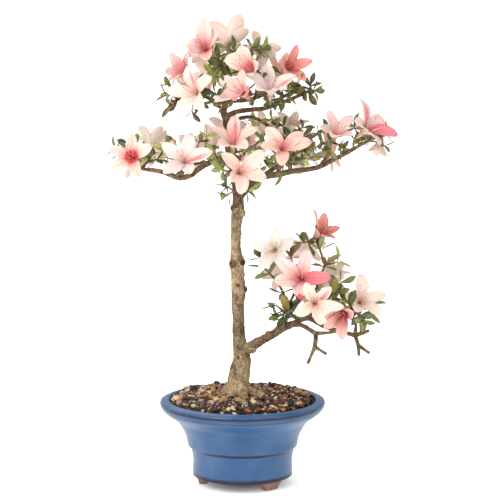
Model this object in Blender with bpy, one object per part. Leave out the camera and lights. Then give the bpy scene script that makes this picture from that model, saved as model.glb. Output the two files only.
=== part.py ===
"""An azalea bonsai in a round glazed pot, as closed solids in metres with +Z up.

Every size and place below is in millimetres, from the pot's axis at x = y = 0 and the ground at
z = 0, with -Y the front. build() turns them to metres and stands the whole on one empty, which
puts the middle of the plant's footprint at the origin.

Angles are in degrees. An aim is (turn, lift): turn is 0 towards the front and grows to the right,
and lift is 0 when level and grows upwards.
"""

import math
import random
from collections import namedtuple

import bmesh
import bpy
from mathutils import Vector
from mathutils.bvhtree import BVHTree

MM = 0.001
GAP = 0.35  # left between neighbouring solids
CLEAR = 0.55  # kept by a twig, leaf or petal to the solids of other nodes

# Pot: turned outlines as (radius, height), from the drain hole round the outside to the lip.
HOLE_RADIUS = 8.0
FOOT_HEIGHT = 11.2
POT_OUTSIDE = (
    (HOLE_RADIUS, 11.5), (58.5, 11.5), (63.4, 16.0), (63.4, 32.0), (66.2, 47.5), (69.8, 50.4),
    (71.8, 60.0), (74.6, 68.0), (79.6, 77.0), (84.6, 83.4), (96.6, 92.4), (102.8, 98.0),
    (105.4, 104.6), (104.6, 107.4), (96.0, 110.0),
)
POT_INSIDE = ((93.0, 108.8), (91.0, 103.0), (70.0, 77.0), (65.0, 60.0), (56.5, 26.0), (53.0, 20.0))
FLOOR_HEIGHT = 20.0
POT_SIDES = 28
FOOT_TURNS = (43.0, -88.0, 157.5)
FOOT_TOP = (36.0, 59.0, 15.5)  # inner radius, outer radius and half width under the pot
FOOT_SOLE = (45.0, 56.0, 9.5)  # the same where the foot stands

# Soil: its flat middle, under the trunk, falls away to the inside of the rim.
SOIL_TOP = 113.6
SOIL_CROWN = ((42.0, SOIL_TOP), (66.0, 113.4), (84.0, 112.0))
TRUNK_CUT = SOIL_TOP + GAP + 0.05

# Trunk: (x, y, height, radius) up to its fork, and surface roots as (angle from +X, reach, width).
TRUNK_SIDES = 12
TRUNK_COURSE = (
    (-5, 0, TRUNK_CUT, 15.0), (-5.5, 0, 130, 13.8), (-3.5, 1, 145, 13.2), (-0.9, 2, 160, 11.2),
    (-3, 3, 176, 8.9), (-4.6, 3, 194, 7.6), (-5.2, 2, 212, 7.4), (-5.7, 0, 230, 7.6),
    (-5.0, -2, 250, 8.9), (-6.4, -3, 270, 7.8), (-7.2, -3, 284, 9.0), (-7.9, -2, 297, 6.6),
    (-8.6, -1, 312, 6.0), (-7.6, 0, 337, 6.8), (-5.8, 1, 350, 7.9), (-5.6, 1, 371, 6.2),
    (-10, 0, 398, 5.6), (-16.6, 0, 428, 5.0), (-18.7, 0, 452, 4.6), (-20.5, 0, 466, 4.3),
    (-25, 0, 478, 3.6),
)
ROOTS = ((-24, 24, 13), (70, 5, 5), (128, 5, 6), (184, 5, 5), (240, 6, 7), (290, 4, 6))
ROOT_FALL = 11.5  # height over which a surface root sinks to a third of its reach

# Boughs: (name, the limb it leaves, its course as (x, y, height, radius)).
BOUGH_SIDES = 6
Limb = namedtuple("Limb", "name parent course")
BOUGHS = (
    Limb("bough_low", "trunk", (
        (-3, 0, 170, 7.0), (12, -3, 178, 6.4), (25, -7, 187, 5.4), (37, -11, 194, 5.0),
        (52, -15, 204, 4.6), (68, -18, 211, 3.9))),
    Limb("bough_low_outer", "bough_low", (
        (62, -17, 208, 3.2), (74, -12, 214, 3.2), (84, -8, 215, 3.0), (93, -4, 210, 2.9),
        (104, 0, 203, 2.7), (121, 2, 197, 2.5), (137, 0, 193, 2.3))),
    Limb("bough_low_bare", "bough_low", (
        (62, -17, 208, 2.6), (72, -21, 209, 2.6), (80, -24, 206, 2.4), (87, -26, 202, 2.3))),
    Limb("bough_low_inner", "bough_low", (
        (51, -15, 204, 2.4), (54, -16, 212, 2.2), (56, -17, 220, 2.0), (57, -18, 227, 1.8))),
    Limb("bough_low_middle", "bough_low_outer", (
        (84, -8, 215, 2.2), (88, -10, 224, 2.0), (90, -10, 233, 1.9), (91, -8, 242, 1.8))),
    Limb("bough_low_back", "bough_low", (
        (37, -11, 194, 3.0), (46, 2, 202, 2.8), (57, 16, 212, 2.5), (68, 30, 224, 2.2))),
    Limb("bough_left", "trunk", (
        (-17, 0, 422, 4.2), (-27, -6, 418, 3.6), (-37, -11, 415, 3.4), (-50, -17, 409, 3.3),
        (-63, -22, 400, 3.3), (-73, -25, 396, 3.3), (-83, -27, 397, 3.1), (-95, -28, 402, 2.8),
        (-108, -27, 405, 2.5), (-119, -25, 406, 2.2))),
    Limb("bough_left_inner", "bough_left", (
        (-83, -27, 397, 2.2), (-79, -34, 402, 2.1), (-73, -40, 406, 1.9), (-68, -43, 410, 1.8))),
    Limb("bough_left_back", "trunk", (
        (-14, 0, 408, 3.6), (-26, 14, 412, 3.2), (-43, 32, 415, 2.9), (-60, 50, 416, 2.5),
        (-74, 64, 419, 2.2))),
    Limb("bough_right", "trunk", (
        (-6, 0, 381, 5.2), (7, -3, 388, 4.8), (23, -7, 395, 4.2), (43, -10, 398, 3.7),
        (60, -12, 402, 3.3), (77, -12, 404, 3.0), (97, -10, 408, 2.8), (115, -8, 417, 2.5),
        (131, -5, 425, 2.3), (142, -3, 431, 2.1))),
    Limb("bough_right_inner", "bough_right", (
        (43, -10, 398, 2.6), (46, -20, 406, 2.3), (48, -32, 413, 2.0), (48, -40, 419, 1.8))),
    Limb("bough_right_upper", "bough_right", (
        (97, -10, 408, 2.2), (104, -10, 418, 2.1), (108, -10, 425, 1.9), (109, -11, 432, 1.8))),
    Limb("bough_arch", "trunk", (
        (-19, 0, 461, 2.6), (-7, 3, 466, 2.3), (6, 6, 469, 2.1), (16, 8, 467, 2.0),
        (27, 10, 461, 1.9), (37, 12, 454, 1.8))),
    Limb("bough_front", "trunk", (
        (-9, 0, 392, 3.2), (-9, -20, 396, 2.8), (-8, -38, 399, 2.4), (-6, -54, 401, 2.1))),
    Limb("bough_back", "trunk", (
        (-12, 0, 404, 3.4), (-8, 22, 409, 3.0), (-3, 44, 413, 2.5), (2, 62, 418, 2.1))),
    Limb("bough_back_right", "trunk", (
        (-6, 0, 364, 3.8), (6, 16, 376, 3.4), (28, 40, 392, 2.8), (52, 60, 405, 2.2))),
    Limb("bough_sprout", "trunk", (
        (-6, -2, 362, 2.4), (-7, -9, 368, 2.0), (-9, -15, 374, 1.7))),
    Limb("bough_top_right", "trunk", (
        (-21, 0, 470, 3.0), (-8, -3, 476, 2.8), (10, -6, 479, 2.6), (28, -9, 481, 2.4),
        (42, -10, 486, 2.3), (57, -10, 491, 2.1), (71, -9, 497, 1.9), (80, -8, 501, 1.8))),
    Limb("bough_leader", "trunk", (
        (-24, 0, 474, 3.4), (-21, 3, 489, 3.2), (-18, 3, 503, 2.9), (-17, 1, 516, 2.5),
        (-18, -1, 526, 2.2))),
    Limb("bough_top_middle", "bough_leader", (
        (-21, 3, 488, 2.4), (-10, -5, 490, 2.3), (2, -14, 491, 2.1), (13, -20, 494, 2.0),
        (22, -25, 497, 1.8))),
    Limb("bough_top_left", "bough_leader", (
        (-21, 3, 487, 2.6), (-31, -6, 489, 2.4), (-40, -15, 493, 2.1), (-47, -22, 498, 1.9))),
    Limb("bough_top_front", "bough_leader", (
        (-18, 3, 504, 2.3), (-15, -12, 505, 2.1), (-11, -25, 503, 1.9), (-8, -36, 501, 1.8))),
    Limb("bough_top_back", "bough_leader", (
        (-18, 3, 502, 2.4), (-12, 18, 508, 2.2), (-3, 33, 515, 2.0), (6, 45, 521, 1.8))),
)

# Blooms: the middle of the throat, the aim, the turn of the first petal, size, form, and petals out
# of line as (petal, swing, shares of the length and the width).
Bloom = namedtuple("Bloom", "x y z turn lift roll size form odd", defaults=((),))
PETALS = 5
THROAT_LENGTH = 9.0
THROAT_RADIUS = 4.2
PETAL_LENGTH = 35.0
PETAL_WIDTH = 15.0
PETAL_THICK = 1.1
MOST_SWING = 14.0  # of a petal out of line, so that its neighbours' shells stay apart
PETAL_WIDEST = 5  # of the spine steps
SPINE_STEPS = 9
PETAL_START = 20.0  # angle between a petal's root and the bloom's axis
PETAL_END = {"star": 86.0, "cup": 66.0, "bell": 46.0}
SUNK = 4.0  # how far a bloom's foot goes into its twig
BUD_LENGTH = 24.0
BUD_RADIUS = 6.0

# Leaves: narrow ovals round the end of each twig.
LEAF_LENGTH = (20.0, 30.0)
LEAF_WIDTH = 0.36  # of the length
LEAF_THICK = 0.9
LEAF_SUNK = 0.25  # past the middle of its twig
LEAF_BELOW = 1.5  # the first leaf below a twig's end
LEAF_SPACING = 0.9
LEAF_TURN = 137.5
LEAVES_AT_BLOOM = 2
LEAVES_AT_SPRAY = 4

# Twigs: radius grows with the number of ends a twig carries.
TWIG_SIDES = 3
TWIG_RADIUS = 1.35
TWIG_GROWTH = 0.36
TWIG_STEP = 24.0
STEM_LENGTH = 7.0
WAY_BACK = 0.4  # how much a long way round through the twigs counts against a fork
STUB_WOOD = 3  # a bare stub is as thick as old wood with this many ends
FRONT_FREE = -0.1  # seeded sprays keep behind this share of a mass's half depth

# Masses: (name, the bough whose tip carries it, middle and half sizes of its own space, number of
# seeded leaf sprays, chosen sprays as (x, y, height), blooms, bare ends).
Mass = namedtuple("Mass", "name limb middle half sprays chosen blooms stubs", defaults=((),))
MASSES = (
    Mass("foliage_crown", "bough_leader", (-18, 10, 558), (54, 46, 52), 0,
         ((-8, 3, 553), (25, 20, 553), (0, -12, 546), (-27, -17, 535), (-36, -20, 524)), (
        Bloom(-45, -10, 554, -15, 25, 3, 1.15, "cup",
              ((0, 0, 0.96, 1.35), (1, -26, 0.86, 1.15), (2, 4, 0.85), (3, 6, 0.75), (4, -26, 0.66, 1.1))),
        Bloom(-18, 10, 560, 170, 15, -20, 1.18, "star", ((0, 0, 1.0, 1.1), (4, 32, 0.8))),
        Bloom(-40, 36, 546, -150, 30, 12, 0.95, "star"))),
    Mass("foliage_top_left", "bough_top_left", (-68, -26, 512), (52, 42, 54), 0,
         ((-90, -25, 511), (-88, -30, 501), (-80, -34, 494), (-50, -38, 490)), (
        Bloom(-54, -45, 502, -35, 15, -14, 1.1, "star", ((0, 5, 1.0), (4, -8, 1.0))),
        Bloom(-68, -15, 522, -40, 35, 26, 1.05, "bell",
              ((0, 4, 0.85), (1, 0, 0.6), (3, 0, 0.8), (4, 0, 0.95))),
        Bloom(-68, -26, 516, -70, 20, 0, 1.2, "bud"))),
    Mass("foliage_top_front", "bough_top_front", (0, -48, 514), (52, 42, 48), 0,
         ((-34, -60, 504), (-24, -42, 490)), (
        Bloom(5, -55, 500, -45, 35, 0, 1.15, "cup", ((0, -12, 0.8), (1, 35, 0.8))),
        Bloom(14, -42, 528, -40, 30, -8, 1.1, "cup",
              ((0, -22, 0.95, 1.3), (1, 0, 0.5), (2, 0, 0.45), (3, 0, 0.5), (4, 8, 0.98, 1.45))))),
    Mass("foliage_top_middle", "bough_top_middle", (42, -20, 512), (46, 44, 46), 0,
         ((13, -35, 500), (40, -30, 493), (56, -22, 498)), (
        Bloom(35, -42, 500, 0, 55, -3, 1.15, "cup", ((0, -12, 0.95), (1, 5, 1.0), (4, -8, 1.0))),
        Bloom(54, -5, 529, 35, 25, 20, 0.95, "cup", ((4, -35, 1.0),)))),
    Mass("foliage_top_right", "bough_top_right", (84, -6, 508), (36, 28, 24), 0,
         ((68, -10, 508), (85, -8, 510), (90, -8, 503)), ()),
    Mass("foliage_top_back", "bough_top_back", (4, 60, 528), (62, 44, 46), 1, ((23, 40, 548),), (
        Bloom(17, 38, 554, 150, 0, 30, 0.95, "star", ((0, 0, 0.8), (3, 0, 0.8), (4, -52, 1.0))),
        Bloom(-4, 80, 532, 180, 25, 20, 1.0, "star"),
        Bloom(40, 66, 518, 140, 15, 50, 0.95, "cup"),
        Bloom(-38, 62, 516, -155, 10, 36, 1.0, "star"))),
    Mass("foliage_left_tip", "bough_left", (-132, -8, 428), (40, 46, 42), 0,
         ((-142, -18, 434), (-133, 0, 436), (-106, -18, 418)), (
        Bloom(-136, -24, 422, -8, 5, 2, 1.0, "star", ((1, -15, 1.0), (2, 10, 0.9), (3, 16, 1.0))),
        Bloom(-116, 6, 428, 170, 50, 36, 0.95, "cup"),
        Bloom(-132, 22, 412, -140, 0, 30, 0.85, "cup"))),
    Mass("foliage_left_inner", "bough_left_inner", (-70, -42, 430), (52, 42, 38), 0,
         ((-44, -24, 448), (-38, -30, 416), (-92, -28, 430)), (
        Bloom(-71, -50, 418, 0, 25, 12, 1.12, "star", ((0, 6, 1.0), (1, 0, 1.12), (2, 0, 0.6))),
        Bloom(-86, -26, 438, -20, 40, 0, 0.65, "bud"))),
    Mass("foliage_left_back", "bough_left_back", (-66, 70, 416), (52, 50, 42), 1, (), (
        Bloom(-92, 60, 416, -120, 20, 5, 0.95, "star"),
        Bloom(-60, 96, 412, -165, 10, 40, 1.0, "star"),
        Bloom(-38, 62, 424, -170, 40, 20, 0.9, "cup"))),
    Mass("foliage_front", "bough_front", (-8, -80, 422), (52, 46, 46), 0,
         ((5, -62, 434), (-25, -60, 410)), (
        Bloom(-4, -88, 409, 20, 15, -50, 1.12, "star",
              ((0, 0, 1.05), (1, 26, 1.05), (2, 14, 0.9), (3, 24, 0.85), (4, 0, 0.5))),
        Bloom(-11, -74, 439, 0, 50, 2, 1.1, "cup"))),
    Mass("foliage_sprout", "bough_sprout", (-8, -16, 380), (32, 24, 26), 0,
         ((-20, -16, 384), (-20, -14, 372), (8, -16, 378)), ()),
    Mass("foliage_right_inner", "bough_right_inner", (48, -54, 432), (46, 40, 38), 0,
         ((29, -40, 436), (51, -50, 421), (63, -40, 419)), (
        Bloom(49, -62, 435, 10, 25, -46, 1.08, "star",
              ((1, 30, 0.9), (2, -10, 1.0), (3, 26, 0.85), (4, 26, 1.0))),)),
    Mass("foliage_arch", "bough_arch", (56, 16, 456), (42, 34, 30), 0,
         ((39, 5, 450), (52, 5, 442), (76, 0, 446)), (
        Bloom(60, 24, 448, 20, 70, 36, 0.85, "cup"),)),
    Mass("foliage_right_upper", "bough_right_upper", (108, -10, 448), (36, 36, 38), 0,
         ((88, -10, 430), (122, -8, 434)), (
        Bloom(114, -17, 445, 25, 45, -18, 1.0, "cup", ((2, 0, 0.75), (3, 25, 1.2))),)),
    Mass("foliage_right_tip", "bough_right", (162, 4, 448), (44, 44, 52), 0,
         ((139, -12, 458), (168, -4, 444)), (
        Bloom(150, -8, 450, 55, 35, 0, 1.2, "star",
              ((0, 2, 1.05), (1, 0, 0.85), (2, -24, 1.12), (3, -8, 0.9), (4, -6, 1.0))),
        Bloom(175, 14, 441, -60, -70, 20, 0.75, "bell"),
        Bloom(156, 34, 444, 150, 20, 10, 0.85, "star"))),
    Mass("foliage_back_right", "bough_back_right", (72, 74, 414), (54, 46, 40), 1, (), (
        Bloom(98, 62, 414, 110, 15, 15, 0.95, "star"),
        Bloom(68, 98, 410, 170, 10, 40, 1.0, "star"),
        Bloom(54, 66, 428, 150, 45, 0, 0.9, "cup"))),
    Mass("foliage_back", "bough_back", (2, 86, 432), (48, 48, 44), 1, (), (
        Bloom(4, 112, 424, 180, 10, 25, 1.0, "star"),
        Bloom(-20, 84, 440, -170, 40, 55, 0.9, "star"),
        Bloom(26, 82, 440, 160, 45, 10, 0.9, "cup"))),
    Mass("foliage_low_left", "bough_low_inner", (52, -26, 271), (54, 44, 60), 0,
         ((22, -18, 294), (27, -20, 282), (61, -20, 296), (39, -32, 236), (51, -38, 222)), (
        Bloom(41, -24, 305, -5, 5, 2, 1.06, "star",
              ((0, 0, 0.9), (1, -16, 0.85), (2, 0, 0.8), (3, 0, 0.9))),
        Bloom(74, -36, 270, -5, 10, 14, 1.25, "star", ((2, 30, 0.6), (3, 32, 0.85), (4, 6, 1.05))),
        Bloom(54, -30, 238, -60, 70, 0, 0.95, "bud"))),
    Mass("foliage_low_middle", "bough_low_middle", (100, -14, 278), (44, 48, 54), 0,
         ((77, -8, 313), (97, -8, 304), (104, -6, 283), (113, -8, 244)), (
        Bloom(90, -56, 243, 0, 5, 26, 1.0, "star",
              ((0, 14, 1.0), (1, 0, 1.22), (2, -8, 0.95), (3, 0, 0.9), (4, 20, 0.95))),
        Bloom(91, -5, 317, 55, 44, -30, 0.95, "bell", ((0, -8, 1.25), (4, 20, 0.8))),
        Bloom(76, -50, 249, -95, 15, 0, 0.75, "bud"),
        Bloom(116, -12, 256, 20, 75, 0, 0.95, "bud"),
        Bloom(116, 22, 262, 150, 35, 36, 0.7, "cup"))),
    Mass("foliage_low_right", "bough_low_outer", (146, -16, 222), (42, 42, 46), 0,
         ((134, -10, 234), (148, -10, 218)), (
        Bloom(129, -42, 230, -25, -22, 8, 1.0, "cup",
              ((0, 0, 0.6), (1, -20, 0.75), (2, 28, 1.05), (3, 20, 0.95), (4, -26, 0.8))),
        Bloom(147, -16, 236, 20, 30, 4, 1.05, "star",
              ((0, 0, 1.0, 1.1), (1, 8, 0.95), (3, 0, 0.6), (4, 0, 0.7)))),
         ((160, -8, 199), (161, -14, 171), (147, -22, 170))),
    Mass("foliage_low_back", "bough_low_back", (82, 54, 258), (50, 46, 52), 0, (), (
        Bloom(80, 64, 284, 170, 35, 0, 0.95, "star"),
        Bloom(54, 58, 258, -155, 15, 30, 0.95, "star"),
        Bloom(104, 60, 246, 130, 10, 20, 0.95, "star"))),
    Mass("twigs_low_bare", "bough_low_bare", (102, -28, 182), (28, 20, 34), 0, (), (),
         ((91, -29, 182), (106, -31, 173), (82, -32, 161), (122, -26, 202))),
)


def place(point):
    return Vector(point[:3])


def aim_vector(turn, lift):
    turn, lift = math.radians(turn), math.radians(lift)
    level = math.cos(lift)
    return Vector((math.sin(turn) * level, -math.cos(turn) * level, math.sin(lift)))


def square_to(axis):
    """Two unit vectors square to an axis: one level, to the right of who looks against it."""
    axis = axis.normalized()
    level = Vector((0, 0, 1)) if abs(axis.z) < 0.95 else Vector((0, 1, 0))
    across = level.cross(axis).normalized()
    return across, axis.cross(across)


# Pieces: (corners, faces) of one closed shape each, facing out.


def facing_out(corners, faces):
    volume = 0.0
    for face in faces:
        for a, b in zip(face[1:], face[2:]):
            volume += corners[face[0]].dot(corners[a].cross(corners[b]))
    return corners, [face[::-1] for face in faces] if volume < 0 else faces


def lofted(rings):
    """Rings of as many corners each, one after another, with both ends closed."""
    sides = len(rings[0])
    corners = [corner for ring in rings for corner in ring]
    faces = [tuple(range(sides))[::-1], tuple(range(len(corners) - sides, len(corners)))]
    for start in range(0, len(corners) - sides, sides):
        for side in range(sides):
            after = (side + 1) % sides
            faces.append((start + side, start + after, start + sides + after, start + sides + side))
    return facing_out(corners, faces)


def tube(course, sides, extra=0.0):
    """A limb along (x, y, height, radius) points, with its radius made larger by extra."""
    rings = []
    centres = [place(point) for point in course]
    across = square_to(centres[1] - centres[0])[0]
    for index, centre in enumerate(centres):
        heading = centres[min(index + 1, len(centres) - 1)] - centres[max(index - 1, 0)]
        heading.normalize()
        across = (across - heading * across.dot(heading)).normalized()
        upward = heading.cross(across)
        radius = course[index][3] + extra
        rings.append([
            centre + (across * math.cos(angle) + upward * math.sin(angle)) * radius
            for angle in (2 * math.pi * side / sides for side in range(sides))
        ])
    return lofted(rings)


def root_reach(angle, height):
    """How far surface roots push the trunk's side out, at an angle and a height above the soil."""
    reach = 0.0
    for turn, length, width in ROOTS:
        towards = max(0.0, math.cos(angle - math.radians(turn)))
        reach += length * towards ** width
    return reach * math.exp(-height / ROOT_FALL)


def trunk_piece(extra=0.0):
    """The trunk with level rings, so that its foot is cut flat, and its roots flared out."""
    rings = []
    for x, y, height, radius in TRUNK_COURSE:
        angles = [2 * math.pi * side / TRUNK_SIDES for side in range(TRUNK_SIDES)]
        reaches = [radius + extra + root_reach(angle, height - TRUNK_CUT) for angle in angles]
        rings.append([
            Vector((x + reach * math.cos(angle), y + reach * math.sin(angle), height))
            for angle, reach in zip(angles, reaches)
        ])
    return lofted(rings)


def petal_turn(bloom, number):
    """The angle of a petal round its bloom and its share of the length."""
    swing, long_share = 0.0, 1.0
    for petal, *odd in bloom.odd:
        if petal == number % PETALS:
            swing, long_share = odd[:2]
    swing = max(-MOST_SWING, min(MOST_SWING, swing))
    return bloom.roll + 360 / PETALS * number + swing, long_share


def petal_half_width(bloom, number):
    """Half a petal's width, less where a neighbour stands near, so that their blades don't meet."""
    before, here, after = (petal_turn(bloom, number + step)[0] for step in (-1, 0, 1))
    room = math.tan(math.radians(min(here - before, after - here)) / 2) / math.tan(math.pi / PETALS)
    return PETAL_WIDTH / 2 * bloom.size * min(1.0, room * petal_turn(bloom, number)[1])


def petal_spine(bloom, number):
    """A petal's middle line from the throat out, as (point, upward) at even steps."""
    axis = aim_vector(bloom.turn, bloom.lift)
    across, upward = square_to(axis)
    angle, long_share = petal_turn(bloom, number)
    angle = math.radians(angle)
    outward = across * math.sin(angle) + upward * math.cos(angle)
    point = Vector((bloom.x, bloom.y, bloom.z)) + outward * THROAT_RADIUS / 2 * bloom.size
    spine = []
    for step in range(SPINE_STEPS + 1):
        share = (step / SPINE_STEPS) ** 0.7
        lean = math.radians(PETAL_START + (PETAL_END[bloom.form] - PETAL_START) * share)
        spine.append((point.copy(), axis * math.sin(lean) - outward * math.cos(lean)))
        ahead = outward * math.sin(lean) + axis * math.cos(lean)
        point += ahead * PETAL_LENGTH * bloom.size * long_share / SPINE_STEPS
    return axis.cross(outward), spine


def bloom_piece(bloom):
    """A whole bloom in one shell: five petals, sharp at their edges, thick along the rib below."""
    axis = aim_vector(bloom.turn, bloom.lift)
    across, upward = square_to(axis)
    middle = Vector((bloom.x, bloom.y, bloom.z))
    corners = [middle - axis * 2 * bloom.size, middle - axis * (THROAT_LENGTH * bloom.size + SUNK)]
    faces = []
    for number in range(PETALS):
        angle = math.radians((petal_turn(bloom, number)[0] + petal_turn(bloom, number - 1)[0]) / 2)
        notch = across * math.sin(angle) + upward * math.cos(angle)
        sideways, spine = petal_spine(bloom, number)
        centre, normal = spine[PETAL_WIDEST]
        half = sideways * petal_half_width(bloom, number)
        corners += [middle + (notch * THROAT_RADIUS + axis) * bloom.size, centre + half,
                    spine[-1][0], centre - half, centre - normal * PETAL_THICK]
        notch, left, tip, right, rib = range(2 + 5 * number, 7 + 5 * number)
        after = 2 + 5 * ((number + 1) % PETALS)
        faces += [(0, notch, left), (0, left, right), (left, tip, right), (0, right, after)]
        rim = (1, notch, left, tip, right, after, 1)
        faces += [(b, a, rib) for a, b in zip(rim, rim[1:])]
    return facing_out(corners, faces)


def bud_piece(bloom):
    """A closed bud: a spindle, fullest past its middle."""
    length, radius = BUD_LENGTH * bloom.size, BUD_RADIUS * bloom.size
    axis = aim_vector(bloom.turn, bloom.lift)
    start = Vector((bloom.x, bloom.y, bloom.z)) - axis * (THROAT_LENGTH * bloom.size + 2)
    shape = ((0.0, 0.25), (0.35, 0.7), (0.68, 1.0), (1.0, 0.15))
    course = []
    for along, share in shape:
        centre = start + axis * length * along
        course.append((*centre, radius * share))
    return tube(course, 5)


def leaf_piece(root, heading, normal, length):
    """A leaf with a rib under its blade, widest past its middle, its root at the twig's centre."""
    side = heading.cross(normal).normalized() * length * LEAF_WIDTH / 2
    normal = side.cross(heading).normalized()
    middle = root + heading * length * 0.55 + normal * length * 0.05
    corners = [root, middle - side, middle + side, middle - normal * LEAF_THICK,
               root + heading * length]
    faces = [(0, 1, 2), (0, 2, 3), (0, 3, 1), (4, 2, 1), (4, 3, 2), (4, 1, 3)]
    return facing_out(corners, faces)


# Twigs: how a mass branches.


class Fork:
    """A point on a mass's twigs: where it is, which way it grows and how many ends it carries."""

    def __init__(self, place, heading, before=None):
        self.place = place
        self.heading = heading
        self.before = before
        self.way = before.way + (place - before.place).length if before else 0.0
        self.ends = 0

    def carry(self, wood):
        fork = self
        while fork:
            fork.ends += wood
            fork = fork.before

    def radius(self):
        return TWIG_RADIUS * max(1, self.ends) ** TWIG_GROWTH


def bend(start, leave, end, arrive, t):
    """A point on the curve that leaves start and arrives at end by the two given headings."""
    reach = (end - start).length * 0.35
    one, two = start + leave * reach, end - arrive * reach
    s = 1 - t
    return start * s ** 3 + one * 3 * s * s * t + two * 3 * s * t * t + end * t ** 3


def grow_twigs(root, heading, ends):
    """Each end, nearest first, is reached from the fork that gives it the shortest way. An end is
    its place, the heading it is reached by and how many ends' worth of wood it adds."""
    forks = [Fork(root, heading)]
    forks.append(Fork(root + heading * STEM_LENGTH, heading, forks[0]))
    twigs = [forks[:]]
    for end, arrive, wood in sorted(ends, key=lambda item: (item[0] - root).length):
        source = min(forks[1:], key=lambda fork: (end - fork.place).length + WAY_BACK * fork.way)
        steps = max(2, round((end - source.place).length / TWIG_STEP))
        leave = (source.heading + (end - source.place).normalized()).normalized()
        twig = [source]
        for step in range(1, steps + 1):
            point = bend(source.place, leave, end, arrive, step / steps)
            twig.append(Fork(point, (point - twig[-1].place).normalized(), twig[-1]))
        twig[-1].heading = arrive
        twig[-1].carry(wood)
        forks += twig[1:]
        twigs.append(twig)
    return twigs


def spray_ends(mass, chance):
    """The chosen and the seeded leaf sprays: ends spread through the outer part of the space."""
    middle, half = Vector(mass.middle), Vector(mass.half)
    points = [Vector(point) for point in mass.chosen]
    while len(points) < len(mass.chosen) + mass.sprays:
        way = Vector([chance.uniform(-1, 1) for _ in range(3)])
        if 0.3 < way.length < 1 and way.y > FRONT_FREE:
            way = way.normalized() * chance.uniform(0.45, 0.72)
            points.append(middle + Vector([way[axis] * half[axis] for axis in range(3)]))
    return [(point, ((point - middle).normalized() + Vector((0, 0, 0.5))).normalized(), 1)
            for point in points]


def leaves_round(end, heading, count, chance):
    """A rosette of leaves round a twig's end, each as (root, heading, normal, length)."""
    across, upward = square_to(heading)
    start = chance.uniform(0, 360)
    for number in range(count):
        angle = math.radians(start + LEAF_TURN * number)
        outward = across * math.cos(angle) + upward * math.sin(angle)
        lean = math.radians(chance.uniform(48, 84))
        along = heading * math.cos(lean) + outward * math.sin(lean)
        normal = heading * math.sin(lean) - outward * math.cos(lean)
        root = end - heading * (LEAF_BELOW + LEAF_SPACING * number) - along * LEAF_SUNK
        yield root, along, normal, chance.uniform(*LEAF_LENGTH)


# Objects.


def material(name, colour, roughness, metallic=0.0):
    found = bpy.data.materials.get(name)
    if found:
        return found
    made = bpy.data.materials.new(name)
    made.use_nodes = True
    shader = made.node_tree.nodes["Principled BSDF"]
    shader.inputs["Base Color"].default_value = (*colour, 1.0)
    shader.inputs["Roughness"].default_value = roughness
    shader.inputs["Metallic"].default_value = metallic
    return made


def glaze():
    return material("blue_glaze", (0.09, 0.16, 0.33), 0.25)


def bare_clay():
    return material("bare_clay", (0.22, 0.13, 0.08), 0.85)


def grit():
    return material("grit", (0.19, 0.12, 0.08), 0.95)


def bark():
    return material("bark", (0.29, 0.2, 0.1), 0.85)


def bloom_and_leaf():
    return material("bloom_and_leaf", (0.8, 0.4, 0.35), 0.6)


def add_object(name, piece, look):
    corners, faces = piece
    mesh = bpy.data.meshes.new(name)
    mesh.from_pydata([corner * MM for corner in corners], [], faces)
    mesh.materials.append(look)
    obj = bpy.data.objects.new(name, mesh)
    bpy.context.scene.collection.objects.link(obj)
    return obj


def apply_modifiers(obj):
    graph = bpy.context.evaluated_depsgraph_get()
    mesh = bpy.data.meshes.new_from_object(obj.evaluated_get(graph))
    obj.modifiers.clear()
    obj.data = mesh


def cut_clear(obj, piece):
    """Cuts a solid back to the surface of a piece that its foot stands in."""
    cutter = add_object("cutter", piece, bark())
    boolean = obj.modifiers.new("cut", "BOOLEAN")
    boolean.operation = "DIFFERENCE"
    boolean.object = cutter
    apply_modifiers(obj)
    bpy.data.objects.remove(cutter)


def one_body(obj):
    """Keeps the largest of a mesh's loose shells: scraps and sealed hollows are dropped."""
    mesh = bmesh.new()
    mesh.from_mesh(obj.data)
    left, shells = set(mesh.faces), []
    while left:
        shell, front = [], [left.pop()]
        while front:
            face = front.pop()
            shell.append(face)
            beside = {other for edge in face.edges for other in edge.link_faces} & left
            left -= beside
            front += beside
        shells.append(shell)
    shells.sort(key=len)
    bmesh.ops.delete(mesh, geom=[face for shell in shells[:-1] for face in shell], context="FACES")
    mesh.to_mesh(obj.data)
    mesh.free()


def turned(name, outline, look):
    """A pot or its filling: an outline of (radius, height) turned about the Z axis."""
    mesh = bmesh.new()
    corners = [mesh.verts.new(Vector((radius, 0, height)) * MM) for radius, height in outline]
    edges = [mesh.edges.new(pair) for pair in zip(corners, corners[1:])]
    if outline[0][0] > 0:
        edges.append(mesh.edges.new((corners[-1], corners[0])))
    bmesh.ops.spin(mesh, geom=corners + edges, axis=(0, 0, 1), angle=2 * math.pi,
                   steps=POT_SIDES, use_merge=True)
    bmesh.ops.remove_doubles(mesh, verts=mesh.verts, dist=1e-6)
    bmesh.ops.recalc_face_normals(mesh, faces=mesh.faces)
    data = bpy.data.meshes.new(name)
    mesh.to_mesh(data)
    mesh.free()
    data.shade_smooth()
    data.set_sharp_from_angle(angle=math.radians(40))
    data.materials.append(look)
    obj = bpy.data.objects.new(name, data)
    bpy.context.scene.collection.objects.link(obj)
    return obj


def build_pot():
    hole = ((HOLE_RADIUS, FLOOR_HEIGHT),)
    turned("pot_bowl", POT_OUTSIDE + POT_INSIDE + hole, glaze())
    for number, turn in enumerate(FOOT_TURNS, 1):
        outward = aim_vector(turn, 0)
        side = Vector((-outward.y, outward.x, 0))
        rings = []
        for height, (inner, outer, half) in ((0.0, FOOT_SOLE), (FOOT_HEIGHT, FOOT_TOP)):
            rings.append([
                outward * radius + side * across + Vector((0, 0, height))
                for radius, across in ((inner, -half), (outer, -half), (outer, half), (inner, half))
            ])
        add_object(f"pot_foot_{number}", lofted(rings), bare_clay())


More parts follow.
